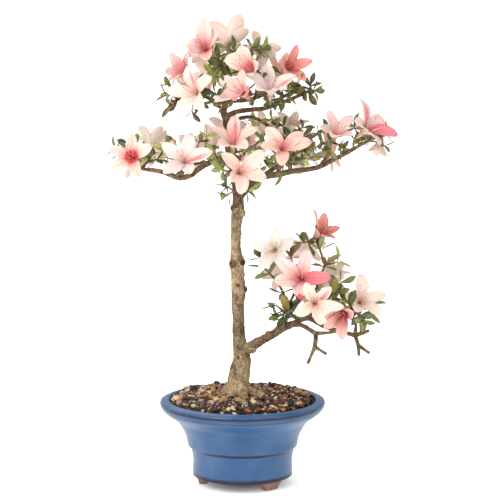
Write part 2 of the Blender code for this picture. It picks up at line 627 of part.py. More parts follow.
def build_soil():
    """The filling keeps clear of the bowl all round and closes over its drain hole."""
    sides = [(radius - GAP * 2, height) for radius, height in POT_INSIDE[1:]]
    sides[-1] = (sides[-1][0], FLOOR_HEIGHT + GAP)
    outline = ((0.0, SOIL_TOP),) + SOIL_CROWN + tuple(sides) + ((0.0, FLOOR_HEIGHT + GAP),)
    turned("soil", outline, grit())


def build_limbs():
    """The trunk and boughs. Each bough's foot is cut to the limb it leaves."""
    pieces = {"trunk": trunk_piece(GAP)}
    solids = [add_object("trunk", trunk_piece(), bark())]
    for limb in BOUGHS:
        course = limb.course
        pieces[limb.name] = tube(course, BOUGH_SIDES, GAP)
        bough = add_object(limb.name, tube(course, BOUGH_SIDES), bark())
        cut_clear(bough, pieces[limb.parent])
        one_body(bough)
        solids.append(bough)
    return solids


def surface(obj):
    points = [corner.co / MM for corner in obj.data.vertices]
    return BVHTree.FromPolygons(points, [tuple(face.vertices) for face in obj.data.polygons])


def swollen(piece):
    """The surface of a piece grown by CLEAR all round."""
    corners, faces = piece
    pushes = [Vector() for _ in corners]
    for face in faces:
        normal = (corners[face[1]] - corners[face[0]]).cross(corners[face[2]] - corners[face[0]])
        for corner in face:
            pushes[corner] += normal.normalized()
    grown = [corner + push.normalized() * CLEAR for corner, push in zip(corners, pushes)]
    return BVHTree.FromPolygons(grown, faces)


def free_of(piece, surfaces):
    shape = swollen(piece)
    return not any(shape.overlap(other) for other in surfaces)


def within(mass, point, room=1.0):
    offset = point - Vector(mass.middle)
    return sum((offset[axis] / mass.half[axis]) ** 2 for axis in range(3)) <= room * room


def wood_and_blooms(mass):
    """A mass's twigs, the pieces of its wood and blooms, and the ends that bear leaves."""
    limb = next(limb for limb in BOUGHS if limb.name == mass.limb)
    tip, before = place(limb.course[-1]), place(limb.course[-2])
    heading = (tip - before).normalized()
    chance = random.Random(mass.name)
    ends = []
    for bloom in mass.blooms:
        axis = aim_vector(bloom.turn, bloom.lift)
        foot = Vector((bloom.x, bloom.y, bloom.z)) - axis * THROAT_LENGTH * bloom.size
        ends.append((foot, axis, 1))
    sprays = spray_ends(mass, chance)
    stubs = [(Vector(point), (Vector(point) - tip).normalized(), STUB_WOOD) for point in mass.stubs]
    twigs = grow_twigs(tip + heading * (GAP + 0.05), heading, ends + sprays + stubs)
    pieces = []
    for twig in twigs:
        course = [(*fork.place, min(fork.radius(), limb.course[-1][3])) for fork in twig]
        pieces.append(tube(course, TWIG_SIDES))
    blooms = [bud_piece(bloom) if bloom.form == "bud" else bloom_piece(bloom)
              for bloom in mass.blooms]
    return pieces, blooms, ends, sprays


def join(name, pieces):
    """One solid of all the pieces, by a union on the collection that holds them."""
    group = bpy.data.collections.new(name)
    obj = add_object(name, pieces[0], bloom_and_leaf())
    for piece in pieces[1:]:
        extra = add_object(name + "_piece", piece, bloom_and_leaf())
        group.objects.link(extra)
    boolean = obj.modifiers.new("union", "BOOLEAN")
    boolean.operation = "UNION"
    boolean.operand_type = "COLLECTION"
    boolean.collection = group
    boolean.solver = "MANIFOLD"
    apply_modifiers(obj)
    for extra in list(group.objects):
        bpy.data.objects.remove(extra)
    bpy.data.collections.remove(group)
    one_body(obj)
    return obj


def build_masses(limbs):
    """Wood and blooms of every mass first, then leaves where they are still free of all else."""
    solid = [surface(limb) for limb in limbs]
    frames = {mass.name: wood_and_blooms(mass) for mass in MASSES}
    kept = {}
    for mass in MASSES:
        wood, blooms, _, _ = frames[mass.name]
        others = solid + [tree for name, (_, trees) in kept.items() for tree in trees]
        pieces = [wood[0]]
        pieces += [piece for piece in wood[1:] + blooms if free_of(piece, others)]
        kept[mass.name] = (pieces, [BVHTree.FromPolygons(*piece) for piece in pieces])
    for mass in MASSES:
        pieces, trees = kept[mass.name]
        others = solid + [tree for name, (_, some) in kept.items() if name != mass.name
                          for tree in some]
        chance = random.Random(mass.name + " leaves")
        _, _, ends, sprays = frames[mass.name]
        for group, count in ((ends, LEAVES_AT_BLOOM), (sprays, LEAVES_AT_SPRAY)):
            for end, heading, _ in group:
                for leaf in leaves_round(end, heading, count, chance):
                    piece = leaf_piece(*leaf)
                    if within(mass, piece[0][4], 1.15) and free_of(piece, others):
                        pieces.append(piece)
                        trees.append(BVHTree.FromPolygons(*piece))
    return [join(name, pieces) for name, (pieces, _) in kept.items()]


def stand_on_origin():
    """Parents every solid to one empty, set so that the footprint's middle is the origin."""
    solids = [obj for obj in bpy.data.objects if obj.type == "MESH"]
    spans = []
    for axis in range(2):
        values = [corner.co[axis] for obj in solids for corner in obj.data.vertices]
        spans.append((min(values) + max(values)) / 2)
    plant = bpy.data.objects.new("azalea_bonsai", None)
    bpy.context.scene.collection.objects.link(plant)
    plant.location = (-spans[0], -spans[1], 0)
    for obj in solids:
        obj.parent = plant


def build():
    for obj in list(bpy.data.objects):
        bpy.data.objects.remove(obj)
    build_pot()
    build_soil()
    limbs = build_limbs()
    build_masses(limbs)
    stand_on_origin()


if __name__ == "__main__":
    build()
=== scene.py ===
"""Looks of an azalea bonsai in a round glazed pot, laid out as an add-on with one operator for each
group of pieces.

Sizes and places are in millimetres, from the pot's axis at x = y = 0 and the ground at z = 0, with
-Y the front. piece() moves a finished mesh to the frame, in metres. Angles are in degrees, and an
aim is (turn, lift): turn is 0 towards the front and grows to the right, lift grows upwards.
"""

import math
import random
from collections import namedtuple

import bmesh
import bpy
from mathutils import Matrix, Vector, noise
from mathutils.kdtree import KDTree


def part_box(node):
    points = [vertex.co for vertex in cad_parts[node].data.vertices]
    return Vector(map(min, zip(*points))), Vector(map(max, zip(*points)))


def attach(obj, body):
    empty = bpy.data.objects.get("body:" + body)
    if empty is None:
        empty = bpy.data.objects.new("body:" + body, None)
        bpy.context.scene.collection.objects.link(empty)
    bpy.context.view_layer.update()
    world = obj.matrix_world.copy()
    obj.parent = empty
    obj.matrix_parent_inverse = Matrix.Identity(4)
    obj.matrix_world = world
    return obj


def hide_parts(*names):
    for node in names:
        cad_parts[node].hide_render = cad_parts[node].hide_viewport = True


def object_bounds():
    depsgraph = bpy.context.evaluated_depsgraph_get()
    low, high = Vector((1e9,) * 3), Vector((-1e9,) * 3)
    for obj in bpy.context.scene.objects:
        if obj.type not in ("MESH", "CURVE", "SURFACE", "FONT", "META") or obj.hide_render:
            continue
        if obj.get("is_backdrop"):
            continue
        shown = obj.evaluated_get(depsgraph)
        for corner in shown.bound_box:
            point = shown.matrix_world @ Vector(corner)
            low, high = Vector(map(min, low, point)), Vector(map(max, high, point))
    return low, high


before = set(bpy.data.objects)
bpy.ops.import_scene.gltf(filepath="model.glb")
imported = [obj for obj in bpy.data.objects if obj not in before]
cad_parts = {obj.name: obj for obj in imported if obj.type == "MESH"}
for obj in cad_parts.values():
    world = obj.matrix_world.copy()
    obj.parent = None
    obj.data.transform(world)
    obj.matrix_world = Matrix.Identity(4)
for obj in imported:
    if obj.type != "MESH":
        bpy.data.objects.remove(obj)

bl_info = {
    "name": "Azalea Bonsai",
    "version": (1, 0, 0),
    "blender": (4, 5, 0),
    "location": "3D View > Sidebar > Azalea",
    "description": "Pot, gravel, wood, leaves and blooms of an azalea bonsai",
    "category": "Add Mesh",
}

MM = 0.001
LIMB_STEP = 4.0  # along boughs and twigs
TRUNK_STEP = 5.0
POT_STEP = 2.4
BUD_STEP = 2.5
CAD_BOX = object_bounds()
POT_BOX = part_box("pot_bowl")
POT_AXIS = (POT_BOX[0] + POT_BOX[1]) / 2
TO_FRAME = Matrix.Translation((POT_AXIS.x, POT_AXIS.y, 0)) @ Matrix.Scale(MM, 4)
NODES = sorted(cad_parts)
BODY = "root"

# Pot: turned outlines as (radius, height), from the drain hole round the outside to the lip.
POT_OUTSIDE = (
    (8, 11.5), (58.5, 11.5), (63.4, 16), (63.4, 32), (66.2, 47.5), (69.8, 50.4), (71.8, 60), (74.6, 68),
    (79.6, 77), (84.6, 83.4), (96.6, 92.4), (102.8, 98), (105.4, 104.6), (104.6, 107.4), (96, 110),
)
POT_INSIDE = ((93, 108.8), (91, 103), (70, 77), (65, 60), (56.5, 26), (53, 20), (8, 20))
FOOT_TURNS = (43, -88, 157.5)
FOOT_TOP = (36, 59, 15.5)  # inner radius, outer radius and half width under the pot
FOOT_SOLE = (45, 56, 9.5)  # the same where the foot stands
FOOT_RINGS = ((0, 1.2), (0.5, 0.3), (1.2, 0), (4, 0.2), (8, 0.1), (12.7, 0))  # height, how far drawn in
# Outline of a foot seen from above, in halves of its depth and width, with rounded corners.
FOOT_CORNERS = tuple(
    (sign_a * a, sign_b * b)
    for sign_a, sign_b, shape in ((1, 1, 1), (-1, 1, -1), (-1, -1, 1), (1, -1, -1))
    for a, b in ((1.0, 0.75), (0.96, 0.9), (0.88, 0.97), (0.7, 1.0))[::shape])

# Glaze: how thin it lies at a height, as (height, share), and how far that wanders up and down.
GLAZE_BANDS = (
    (11.0, 1.0), (15.4, 1.0), (18.0, 0.0), (46.0, 0.0), (47.4, 1.0), (49.6, 1.0), (51.4, 0.0),
    (95.5, 0.0), (97.4, 0.75), (99.0, 0.1), (102.0, 0.2), (103.4, 1.0), (105.0, 1.0), (106.2, 0.0),
)
GLAZE_WANDER = 1.6
TOP_OF_GLAZE = 120.0

# Soil: its top falls from the middle to the inside of the rim.
SOIL_TOP = 113.6
SOIL_CROWN = ((0, SOIL_TOP), (42, SOIL_TOP), (66, 113.4), (84, 112.0), (91, 107.5))

# Grains: (name, colour, how much they are speckled, their shares on the left and on the right). The
# right's shares hold more dark grains, painted shade where the soil lies in shadow.
GRAINS = (
    ("crushed pale granite", "#C2B39A", 0.40, 11, 5), ("crushed cream stone", "#D2BF97", 0.30, 7, 3),
    ("crushed tan stone", "#A98353", 0.35, 15, 12), ("burnt orange clay", "#B4713F", 0.30, 3, 2),
    ("brick red lava", "#6A3C2D", 0.35, 12, 20), ("dark lava", "#291D16", 0.40, 22, 26),
    ("grey slate", "#564D42", 0.35, 12, 10), ("pink granite", "#A78678", 0.35, 7, 5),
    ("brown bark chip", "#432A1A", 0.35, 14, 22),
)
STONE_SHAPES = 10
STONE_RADII = (0.72, 1.12)  # of a stone's corners, against its mean radius
STONE_WEAR = 0.12  # of its edges
STREWN_RADIUS = 90.5
RIM_INSIDE = 92.5  # radius that the grains keep within
SHADED_SIDE = 91.5  # place on +X from which all grains have the shares of the right
MOSTLY_SMALL = 2.2  # power that makes small grains more common than large ones
TRUNK_GAP = 13  # distance from the trunk's foot, between its roots, that grains keep off

# Trunk: (x, y, height, radius) up to its fork, and surface roots as (angle from +X, reach, width).
TRUNK_COURSE = (
    (-5, 0, 112, 15.0), (-5.5, 0, 130, 13.8), (-3.5, 1, 145, 13.2), (-0.9, 2, 160, 11.2),
    (-3, 3, 176, 8.9), (-4.6, 3, 194, 7.6), (-5.2, 2, 212, 7.4), (-5.7, 0, 230, 7.6),
    (-5.0, -2, 250, 8.9), (-6.4, -3, 270, 7.8), (-7.2, -3, 284, 9.0), (-7.9, -2, 297, 6.6),
    (-8.6, -1, 312, 6.0), (-7.6, 0, 337, 6.8), (-5.8, 1, 350, 7.9), (-5.6, 1, 371, 6.2),
    (-10, 0, 398, 5.6), (-16.6, 0, 428, 5.0), (-18.7, 0, 452, 4.6), (-20.5, 0, 466, 4.3),
    (-25, 0, 478, 3.6),
)
ROOTS = ((-24, 24, 13), (70, 5, 5), (128, 5, 6), (184, 5, 5), (240, 6, 7), (290, 4, 6))
ROOT_FADE = 11.5  # height over which the swelling by roots dies out

# Knots on the trunk: (x, y, height, radius, rise, look). A high one is a healed cut with a rim.
OLD, YOUNG, SCAR, PALE = range(4)  # looks of the bark
KNOBS = (
    (-12, -10.5, 285, 5.6, 3.0, SCAR), (-0.6, -8.6, 286, 4.6, 2.8, SCAR), (2.0, -3, 291, 4.0, 1.6, OLD),
    (-5.5, -10.6, 258, 2.8, 1.2, SCAR), (3.4, -5.6, 252, 4.2, 2.2, SCAR), (-5.3, -7.7, 231, 2.2, 0.9, SCAR),
    (-6, -8, 165, 3.2, 0.8, SCAR), (-12.6, -2.9, 355, 4.2, 2.0, SCAR), (1.6, -2.1, 348, 4.2, 2.0, OLD),
    (-1.9, -3, 322, 3.6, 1.0, OLD), (1.6, -5, 270, 3.4, 1.4, OLD), (12.4, -8, 173, 5.4, 2.4, PALE),
    (6, -8, 184, 6.5, 0.8, OLD), (4, -9, 176, 5.0, 0.8, OLD), (18, -6, 186, 3.4, 2.0, YOUNG),
    (32, -10, 196, 3.4, 1.8, YOUNG), (45, -14, 203, 3.0, 1.4, YOUNG), (-13, 2, 232, 3.2, 0.9, OLD),
    (-9, -12, 205, 3.0, 0.7, OLD), (10, -14, 128, 6, 1.4, OLD), (-16, -10, 126, 6, 1.2, OLD),
)
SMALL_KNOB = (1.6, 3.0)  # radii of the seeded knots on the boughs
SMALL_RISE = (0.3, 1.0)
KNOB_REACH = 9.0
RIM_FROM = 1.1  # rise from which a knot has a rim
YOUNG_FROM = 392  # height above which the trunk's bark is young
OLD_AT_FORK = 20  # place on +X up to which the low bough's bark is old
CRACK_SHARE = 0.22
# Painted shade on the trunk's bark, where the low blooms and the crown shade it: how much of its
# tone it keeps at a height, as (height, share).
BARK_SHADE_BANDS = ((130, 1.0), (158, 0.9), (178, 0.56), (225, 0.6), (250, 0.92), (300, 0.98), (335, 0.8),
              (375, 0.6))
TOP_OF_BARK = 400.0

# Boughs: the course of each as (x, y, height, radius), from inside the limb that it leaves.
BOUGHS = {
    "bough_low": (
        (-3, 0, 170, 7.0), (12, -3, 178, 6.4), (25, -7, 187, 5.4), (37, -11, 194, 5.0),
        (52, -15, 204, 4.6), (68, -18, 211, 3.9)),
    "bough_low_outer": (
        (62, -17, 208, 3.2), (74, -12, 214, 3.2), (84, -8, 215, 3.0), (93, -4, 210, 2.9),
        (104, 0, 203, 2.7), (121, 2, 197, 2.5), (137, 0, 193, 2.3)),
    "bough_low_bare": (
        (62, -17, 208, 2.6), (72, -21, 209, 2.6), (80, -24, 206, 2.4), (87, -26, 202, 2.3)),
    "bough_low_inner": (
        (51, -15, 204, 2.4), (54, -16, 212, 2.2), (56, -17, 220, 2.0), (57, -18, 227, 1.8)),
    "bough_low_middle": (
        (84, -8, 215, 2.2), (88, -10, 224, 2.0), (90, -10, 233, 1.9), (91, -8, 242, 1.8)),
    "bough_low_back": (
        (37, -11, 194, 3.0), (46, 2, 202, 2.8), (57, 16, 212, 2.5), (68, 30, 224, 2.2)),
    "bough_left": (
        (-17, 0, 422, 4.2), (-27, -6, 418, 3.6), (-37, -11, 415, 3.4), (-50, -17, 409, 3.3),
        (-63, -22, 400, 3.3), (-73, -25, 396, 3.3), (-83, -27, 397, 3.1), (-95, -28, 402, 2.8),
        (-108, -27, 405, 2.5), (-119, -25, 406, 2.2)),
    "bough_left_inner": (
        (-83, -27, 397, 2.2), (-79, -34, 402, 2.1), (-73, -40, 406, 1.9), (-68, -43, 410, 1.8)),
    "bough_left_back": (
        (-14, 0, 408, 3.6), (-26, 14, 412, 3.2), (-43, 32, 415, 2.9), (-60, 50, 416, 2.5),
        (-74, 64, 419, 2.2)),
    "bough_right": (
        (-6, 0, 381, 5.2), (7, -3, 388, 4.8), (23, -7, 395, 4.2), (43, -10, 398, 3.7),
        (60, -12, 402, 3.3), (77, -12, 404, 3.0), (97, -10, 408, 2.8), (115, -8, 417, 2.5),
        (131, -5, 425, 2.3), (142, -3, 431, 2.1)),
    "bough_right_inner": (
        (43, -10, 398, 2.6), (46, -20, 406, 2.3), (48, -32, 413, 2.0), (48, -40, 419, 1.8)),
    "bough_right_upper": (
        (97, -10, 408, 2.2), (104, -10, 418, 2.1), (108, -10, 425, 1.9), (109, -11, 432, 1.8)),
    "bough_arch": (
        (-19, 0, 461, 2.6), (-7, 3, 466, 2.3), (6, 6, 469, 2.1), (16, 8, 467, 2.0),
        (27, 10, 461, 1.9), (37, 12, 454, 1.8)),
    "bough_front": (
        (-9, 0, 392, 3.2), (-9, -20, 396, 2.8), (-8, -38, 399, 2.4), (-6, -54, 401, 2.1)),
    "bough_back": (
        (-12, 0, 404, 3.4), (-8, 22, 409, 3.0), (-3, 44, 413, 2.5), (2, 62, 418, 2.1)),
    "bough_back_right": (
        (-6, 0, 364, 3.8), (6, 16, 376, 3.4), (28, 40, 392, 2.8), (52, 60, 405, 2.2)),
    "bough_sprout": (
        (-6, -2, 362, 2.4), (-7, -9, 368, 2.0), (-9, -15, 374, 1.7)),
    "bough_top_right": (
        (-21, 0, 470, 3.0), (-8, -3, 476, 2.8), (10, -6, 479, 2.6), (28, -9, 481, 2.4),
        (42, -10, 486, 2.3), (57, -10, 491, 2.1), (71, -9, 497, 1.9), (80, -8, 501, 1.8)),
    "bough_leader": (
        (-24, 0, 474, 3.4), (-21, 3, 489, 3.2), (-18, 3, 503, 2.9), (-17, 1, 516, 2.5),
        (-18, -1, 526, 2.2)),
    "bough_top_middle": (
        (-21, 3, 488, 2.4), (-10, -5, 490, 2.3), (2, -14, 491, 2.1), (13, -20, 494, 2.0),
        (22, -25, 497, 1.8)),
    "bough_top_left": (
        (-21, 3, 487, 2.6), (-31, -6, 489, 2.4), (-40, -15, 493, 2.1), (-47, -22, 498, 1.9)),
    "bough_top_front": (
        (-18, 3, 504, 2.3), (-15, -12, 505, 2.1), (-11, -25, 503, 1.9), (-8, -36, 501, 1.8)),
    "bough_top_back": (
        (-18, 3, 502, 2.4), (-12, 18, 508, 2.2), (-3, 33, 515, 2.0), (6, 45, 521, 1.8)),
}

# Blooms: the middle of the throat, the aim, the turn of the first petal, size, form, petals out of
# line as (petal, swing, shares of the length and the width), tint, and petals of another tint.
Bloom = namedtuple("Bloom", "x y z turn lift roll size form odd tint marks", defaults=((), "cream", ()))
PETALS = 5
THROAT_LENGTH = 9.0
THROAT_RADIUS = 4.2
FOOT_RADIUS = 1.5
PETAL_START = 20.0  # angle between a petal's root and the bloom's axis
PETAL_END = {"star": 86.0, "cup": 66.0, "bell": 46.0}
SPINE_STEPS = 9
THROAT_STEPS = 2
PETAL_ACROSS = 6
THROAT_DEPTH = 0.7  # of the flesh that closes the throat
THROAT_TONE = 0.16  # where along the petals' own map that flesh takes its colour
PETAL_WIDEST = 0.54  # of its length
PETAL_ROOT = 3.0  # half width where it leaves the throat
WAVE_HEIGHT = 0.17  # of a petal's edge, against its half width
PETAL_SWAY = (-0.12, 0.12)  # to either side over its length
PETAL_CURL = (0, 22)  # of its tip, backwards
PETAL_FOLD = (0.04, 0.16)  # of its sides, against their distance from its middle line
PETAL_TWIST = (-0.3, 0.3)  # radians over its length
FILAMENT_STEPS = 6
FILAMENT_RADIUS = 0.34
BUD_LENGTH = 24.0
BUD_RADIUS = 6.0
BUD_SHAPE = ((0.0, 0.3), (0.15, 0.6), (0.4, 0.85), (0.65, 1.0), (0.85, 0.7), (1.0, 0.12))
BUD_COLOURS = {"cream": "#EAD0BA", "coral": "#DC5A62", "green": "#97823F"}
SCALES = 6  # round the foot of a bloom or bud

# Twigs: radius grows with the number of ends a twig carries.
TWIG_RADIUS = 1.05
TWIG_GROWTH = 0.36
TWIG_STEP = 24.0
STEM_LENGTH = 7.0
WAY_BACK = 0.4  # how much a long way round through the twigs counts against a fork
STUB_WOOD = 3  # a bare stub is as thick as old wood with this many ends
FRONT_FREE = -0.1  # seeded sprays keep behind this share of a mass's half depth
FINE_TOP = 0.25  # and the finer ones below this share of its half height
DRY_SWELL = 1.3  # the dry stubs' old knobby wood against growing twigs
SPRAY_BAND = (0.45, 0.72)  # where seeded sprays end, of the way from a mass's middle to its bounds
FINE_BAND = (0.35, 0.78)

# Masses: (name, the bough whose tip carries it, middle and half sizes of its own space, number of
# seeded leaf sprays, chosen sprays as (x, y, height), blooms, bare ends).
Mass = namedtuple("Mass", "name limb middle half sprays chosen blooms stubs", defaults=((),))
MASSES = (
    Mass("foliage_crown", "bough_leader", (-18, 10, 558), (54, 46, 52), 0,
         ((-8, 3, 553), (25, 20, 553), (0, -12, 546), (-27, -17, 535), (-36, -20, 524)), (
        Bloom(-45, -10, 554, -15, 25, 3, 1.15, "cup",
              ((0, 0, 0.96, 1.35), (1, -26, 0.86, 1.15), (2, 4, 0.85), (3, 6, 0.75), (4, -26, 0.66, 1.1)),
              "rose", ((2, "ember"),)),
        Bloom(-18, 10, 560, 170, 15, -20, 1.18, "star", ((0, 0, 1.0, 1.1), (4, 32, 0.8)), "blush"),
        Bloom(-40, 36, 546, -150, 30, 12, 0.95, "star", (), "blush"))),
    Mass("foliage_top_left", "bough_top_left", (-68, -26, 512), (52, 42, 54), 0,
         ((-90, -25, 511), (-88, -30, 501), (-80, -34, 494), (-50, -38, 490)), (
        Bloom(-54, -45, 502, -35, 15, -14, 1.1, "star", ((0, 5, 1.0), (4, -8, 1.0)), "cream",
              ((0, "streak"),)),
        Bloom(-68, -15, 522, -40, 35, 26, 1.05, "bell",
              ((0, 4, 0.85), (1, 0, 0.6), (3, 0, 0.8), (4, 0, 0.95)), "flushed"),
        Bloom(-68, -26, 516, -70, 20, 0, 1.2, "bud"))),
    Mass("foliage_top_front", "bough_top_front", (0, -48, 514), (52, 42, 48), 0,
         ((-34, -60, 504), (-24, -42, 490)), (
        Bloom(5, -55, 500, -45, 35, 0, 1.15, "cup", ((0, -12, 0.8), (1, 35, 0.8)), "peach",
              ((1, "coral"), (2, "coral"))),
        Bloom(14, -42, 528, -40, 30, -8, 1.1, "cup",
              ((0, -22, 0.95, 1.3), (1, 0, 0.5), (2, 0, 0.45), (3, 0, 0.5), (4, 8, 0.98, 1.45)), "cream",
              ((0, "half"), (4, "half"))))),
    Mass("foliage_top_middle", "bough_top_middle", (42, -20, 512), (46, 44, 46), 0,
         ((13, -35, 500), (40, -30, 493), (56, -22, 498)), (
        Bloom(35, -42, 500, 0, 55, -3, 1.15, "cup", ((0, -12, 0.95), (1, 5, 1.0), (4, -8, 1.0)),
              "white", ((1, "streak"),)),
        Bloom(54, -5, 529, 35, 25, 20, 0.95, "cup", ((4, -35, 1.0),), "salmon"))),
    Mass("foliage_top_right", "bough_top_right", (84, -6, 508), (36, 28, 24), 0,
         ((68, -10, 508), (85, -8, 510), (90, -8, 503)), ()),
    Mass("foliage_top_back", "bough_top_back", (4, 60, 528), (62, 44, 46), 1, ((23, 40, 548),), (
        Bloom(17, 38, 554, 150, 0, 30, 0.95, "star", ((0, 0, 0.8), (3, 0, 0.8), (4, -52, 1.0)), "cream"),
        Bloom(-4, 80, 532, 180, 25, 20, 1.0, "star", (), "blush"),
        Bloom(40, 66, 518, 140, 15, 50, 0.95, "cup", (), "salmon"),
        Bloom(-38, 62, 516, -155, 10, 36, 1.0, "star", (), "peach", ((2, "streak"),)))),
    Mass("foliage_left_tip", "bough_left", (-132, -8, 428), (40, 46, 42), 0,
         ((-142, -18, 434), (-133, 0, 436), (-106, -18, 418)), (
        Bloom(-136, -24, 422, -8, 5, 2, 1.0, "star", ((1, -15, 1.0), (2, 10, 0.9), (3, 16, 1.0)), "heart"),
        Bloom(-116, 6, 428, 170, 50, 36, 0.95, "cup", (), "cream"),
        Bloom(-132, 22, 412, -140, 0, 30, 0.85, "cup", (), "blush"))),
    Mass("foliage_left_inner", "bough_left_inner", (-70, -42, 430), (52, 42, 38), 0,
         ((-44, -24, 448), (-38, -30, 416), (-92, -28, 430)), (
        Bloom(-71, -50, 418, 0, 25, 12, 1.12, "star", ((0, 6, 1.0), (1, 0, 1.12), (2, 0, 0.6)), "white",
              ((1, "streak"),)),
        Bloom(-86, -26, 438, -20, 40, 0, 0.65, "bud"))),
    Mass("foliage_left_back", "bough_left_back", (-66, 70, 416), (52, 50, 42), 1, (), (
        Bloom(-92, 60, 416, -120, 20, 5, 0.95, "star", (), "blush"),
        Bloom(-60, 96, 412, -165, 10, 40, 1.0, "star", (), "white", ((3, "coral"),)),
        Bloom(-38, 62, 424, -170, 40, 20, 0.9, "cup", (), "peach"))),
    Mass("foliage_front", "bough_front", (-8, -80, 422), (52, 46, 46), 0,
         ((5, -62, 434), (-25, -60, 410)), (
        Bloom(-4, -88, 409, 20, 15, -50, 1.12, "star",
              ((0, 0, 1.05), (1, 26, 1.05), (2, 14, 0.9), (3, 24, 0.85), (4, 0, 0.5)), "peach"),
        Bloom(-11, -74, 439, 0, 50, 2, 1.1, "cup", (), "peach", ((0, "veined"),)))),
    Mass("foliage_sprout", "bough_sprout", (-8, -16, 380), (32, 24, 26), 0,
         ((-20, -16, 384), (-20, -14, 372), (8, -16, 378)), ()),
    Mass("foliage_right_inner", "bough_right_inner", (48, -54, 432), (46, 40, 38), 0,
         ((29, -40, 436), (51, -50, 421), (63, -40, 419)), (
        Bloom(49, -62, 435, 10, 25, -46, 1.08, "star",
              ((1, 30, 0.9), (2, -10, 1.0), (3, 26, 0.85), (4, 26, 1.0)), "apricot"),)),
    Mass("foliage_arch", "bough_arch", (56, 16, 456), (42, 34, 30), 0,
         ((39, 5, 450), (52, 5, 442), (76, 0, 446)), (
        Bloom(60, 24, 448, 20, 70, 36, 0.85, "cup", (), "cream"),)),
    Mass("foliage_right_upper", "bough_right_upper", (108, -10, 448), (36, 36, 38), 0,
         ((88, -10, 430), (122, -8, 434)), (
        Bloom(114, -17, 445, 25, 45, -18, 1.0, "cup", ((2, 0, 0.75), (3, 25, 1.2)), "blush"),)),
    Mass("foliage_right_tip", "bough_right", (162, 4, 448), (44, 44, 52), 0,
         ((139, -12, 458), (168, -4, 444)), (
        Bloom(150, -8, 450, 55, 35, 0, 1.2, "star",
              ((0, 2, 1.05), (1, 0, 0.85), (2, -24, 1.12), (3, -8, 0.9), (4, -6, 1.0)), "blush",
              ((0, "streak"), (2, "coral"))),
        Bloom(175, 14, 441, -60, -70, 20, 0.75, "bell", (), "blush"),
        Bloom(156, 34, 444, 150, 20, 10, 0.85, "star", (), "white"))),
    Mass("foliage_back_right", "bough_back_right", (72, 74, 414), (54, 46, 40), 1, (), (
        Bloom(98, 62, 414, 110, 15, 15, 0.95, "star", (), "salmon"),
        Bloom(68, 98, 410, 170, 10, 40, 1.0, "star", (), "cream", ((1, "streak"),)),
        Bloom(54, 66, 428, 150, 45, 0, 0.9, "cup", (), "blush"))),
    Mass("foliage_back", "bough_back", (2, 86, 432), (48, 48, 44), 1, (), (
        Bloom(4, 112, 424, 180, 10, 25, 1.0, "star", (), "heart"),
        Bloom(-20, 84, 440, -170, 40, 55, 0.9, "star", (), "white"),
        Bloom(26, 82, 440, 160, 45, 10, 0.9, "cup", (), "peach"))),
    Mass("foliage_low_left", "bough_low_inner", (52, -26, 271), (54, 44, 60), 0,
         ((22, -18, 294), (27, -20, 282), (61, -20, 296), (39, -32, 236), (51, -38, 222)), (
        Bloom(41, -24, 305, -5, 5, 2, 1.06, "star",
              ((0, 0, 0.9), (1, -16, 0.85), (2, 0, 0.8), (3, 0, 0.9)), "green"),
        Bloom(74, -36, 270, -5, 10, 14, 1.25, "star", ((2, 30, 0.6), (3, 32, 0.85), (4, 6, 1.05)), "rose",
              ((1, "coral"),)),
        Bloom(54, -30, 238, -60, 70, 0, 0.95, "bud", (), "green"))),
    Mass("foliage_low_middle", "bough_low_middle", (100, -14, 278), (44, 48, 54), 0,
         ((77, -8, 313), (97, -8, 304), (104, -6, 283), (113, -8, 244)), (
        Bloom(90, -56, 243, 0, 5, 26, 1.0, "star",
              ((0, 14, 1.0), (1, 0, 1.22), (2, -8, 0.95), (3, 0, 0.9), (4, 20, 0.95)), "cream",
              ((0, "streak"),)),
        Bloom(91, -5, 317, 55, 44, -30, 0.95, "bell", ((0, -8, 1.25), (4, 20, 0.8)), "salmon"),
        Bloom(76, -50, 249, -95, 15, 0, 0.75, "bud", (), "coral"),
        Bloom(116, -12, 256, 20, 75, 0, 0.95, "bud", (), "green"),
        Bloom(116, 22, 262, 150, 35, 36, 0.7, "cup", (), "cream"))),
    Mass("foliage_low_right", "bough_low_outer", (146, -16, 222), (42, 42, 46), 0,
         ((134, -10, 234), (148, -10, 218)), (
        Bloom(129, -42, 230, -25, -22, 8, 1.0, "cup",
              ((0, 0, 0.6), (1, -20, 0.75), (2, 28, 1.05), (3, 20, 0.95), (4, -26, 0.8)), "ember"),
        Bloom(147, -16, 236, 20, 30, 4, 1.05, "star",
              ((0, 0, 1.0, 1.1), (1, 8, 0.95), (3, 0, 0.6), (4, 0, 0.7)), "cream")),
         ((160, -8, 199), (161, -14, 171), (147, -22, 170))),
    Mass("foliage_low_back", "bough_low_back", (82, 54, 258), (50, 46, 52), 0, (), (
        Bloom(80, 64, 284, 170, 35, 0, 0.95, "star", (), "blush"),
        Bloom(54, 58, 258, -155, 15, 30, 0.95, "star", (), "peach"),
        Bloom(104, 60, 246, 130, 10, 20, 0.95, "star", (), "white", ((2, "coral"),)))),
    Mass("twigs_low_bare", "bough_low_bare", (102, -28, 182), (28, 20, 34), 0, (), (),
         ((91, -29, 182), (106, -31, 173), (82, -32, 161), (122, -26, 202))),
)

# Chosen leafy tufts of fine twigs, as (x, y, height), that join the seeded ones of a mass.
TUFTS = {
    "foliage_top_left": ((-87, -36, 488), (-40, -38, 494)),
    "foliage_crown": ((-35, 0, 531), (-30, -8, 541)),
    "foliage_top_middle": ((50, -24, 505), (58, -16, 503)),
    "foliage_top_right": ((69, -14, 512), (82, -14, 501), (76, -10, 506)),
    "foliage_left_inner": ((-53, -46, 443),),
    "foliage_right_inner": (
        (61, -62, 416), (76, -50, 446), (78, -54, 431), (40, -48, 458), (68, -50, 438)),
    "foliage_right_upper": ((108, -24, 430), (94, -14, 450), (100, -16, 440)),
    "foliage_arch": ((37, 4, 466), (51, 4, 458)),
    "foliage_low_left": ((44, -34, 226), (60, -36, 226)),
    "foliage_low_right": ((150, -22, 214),),
}

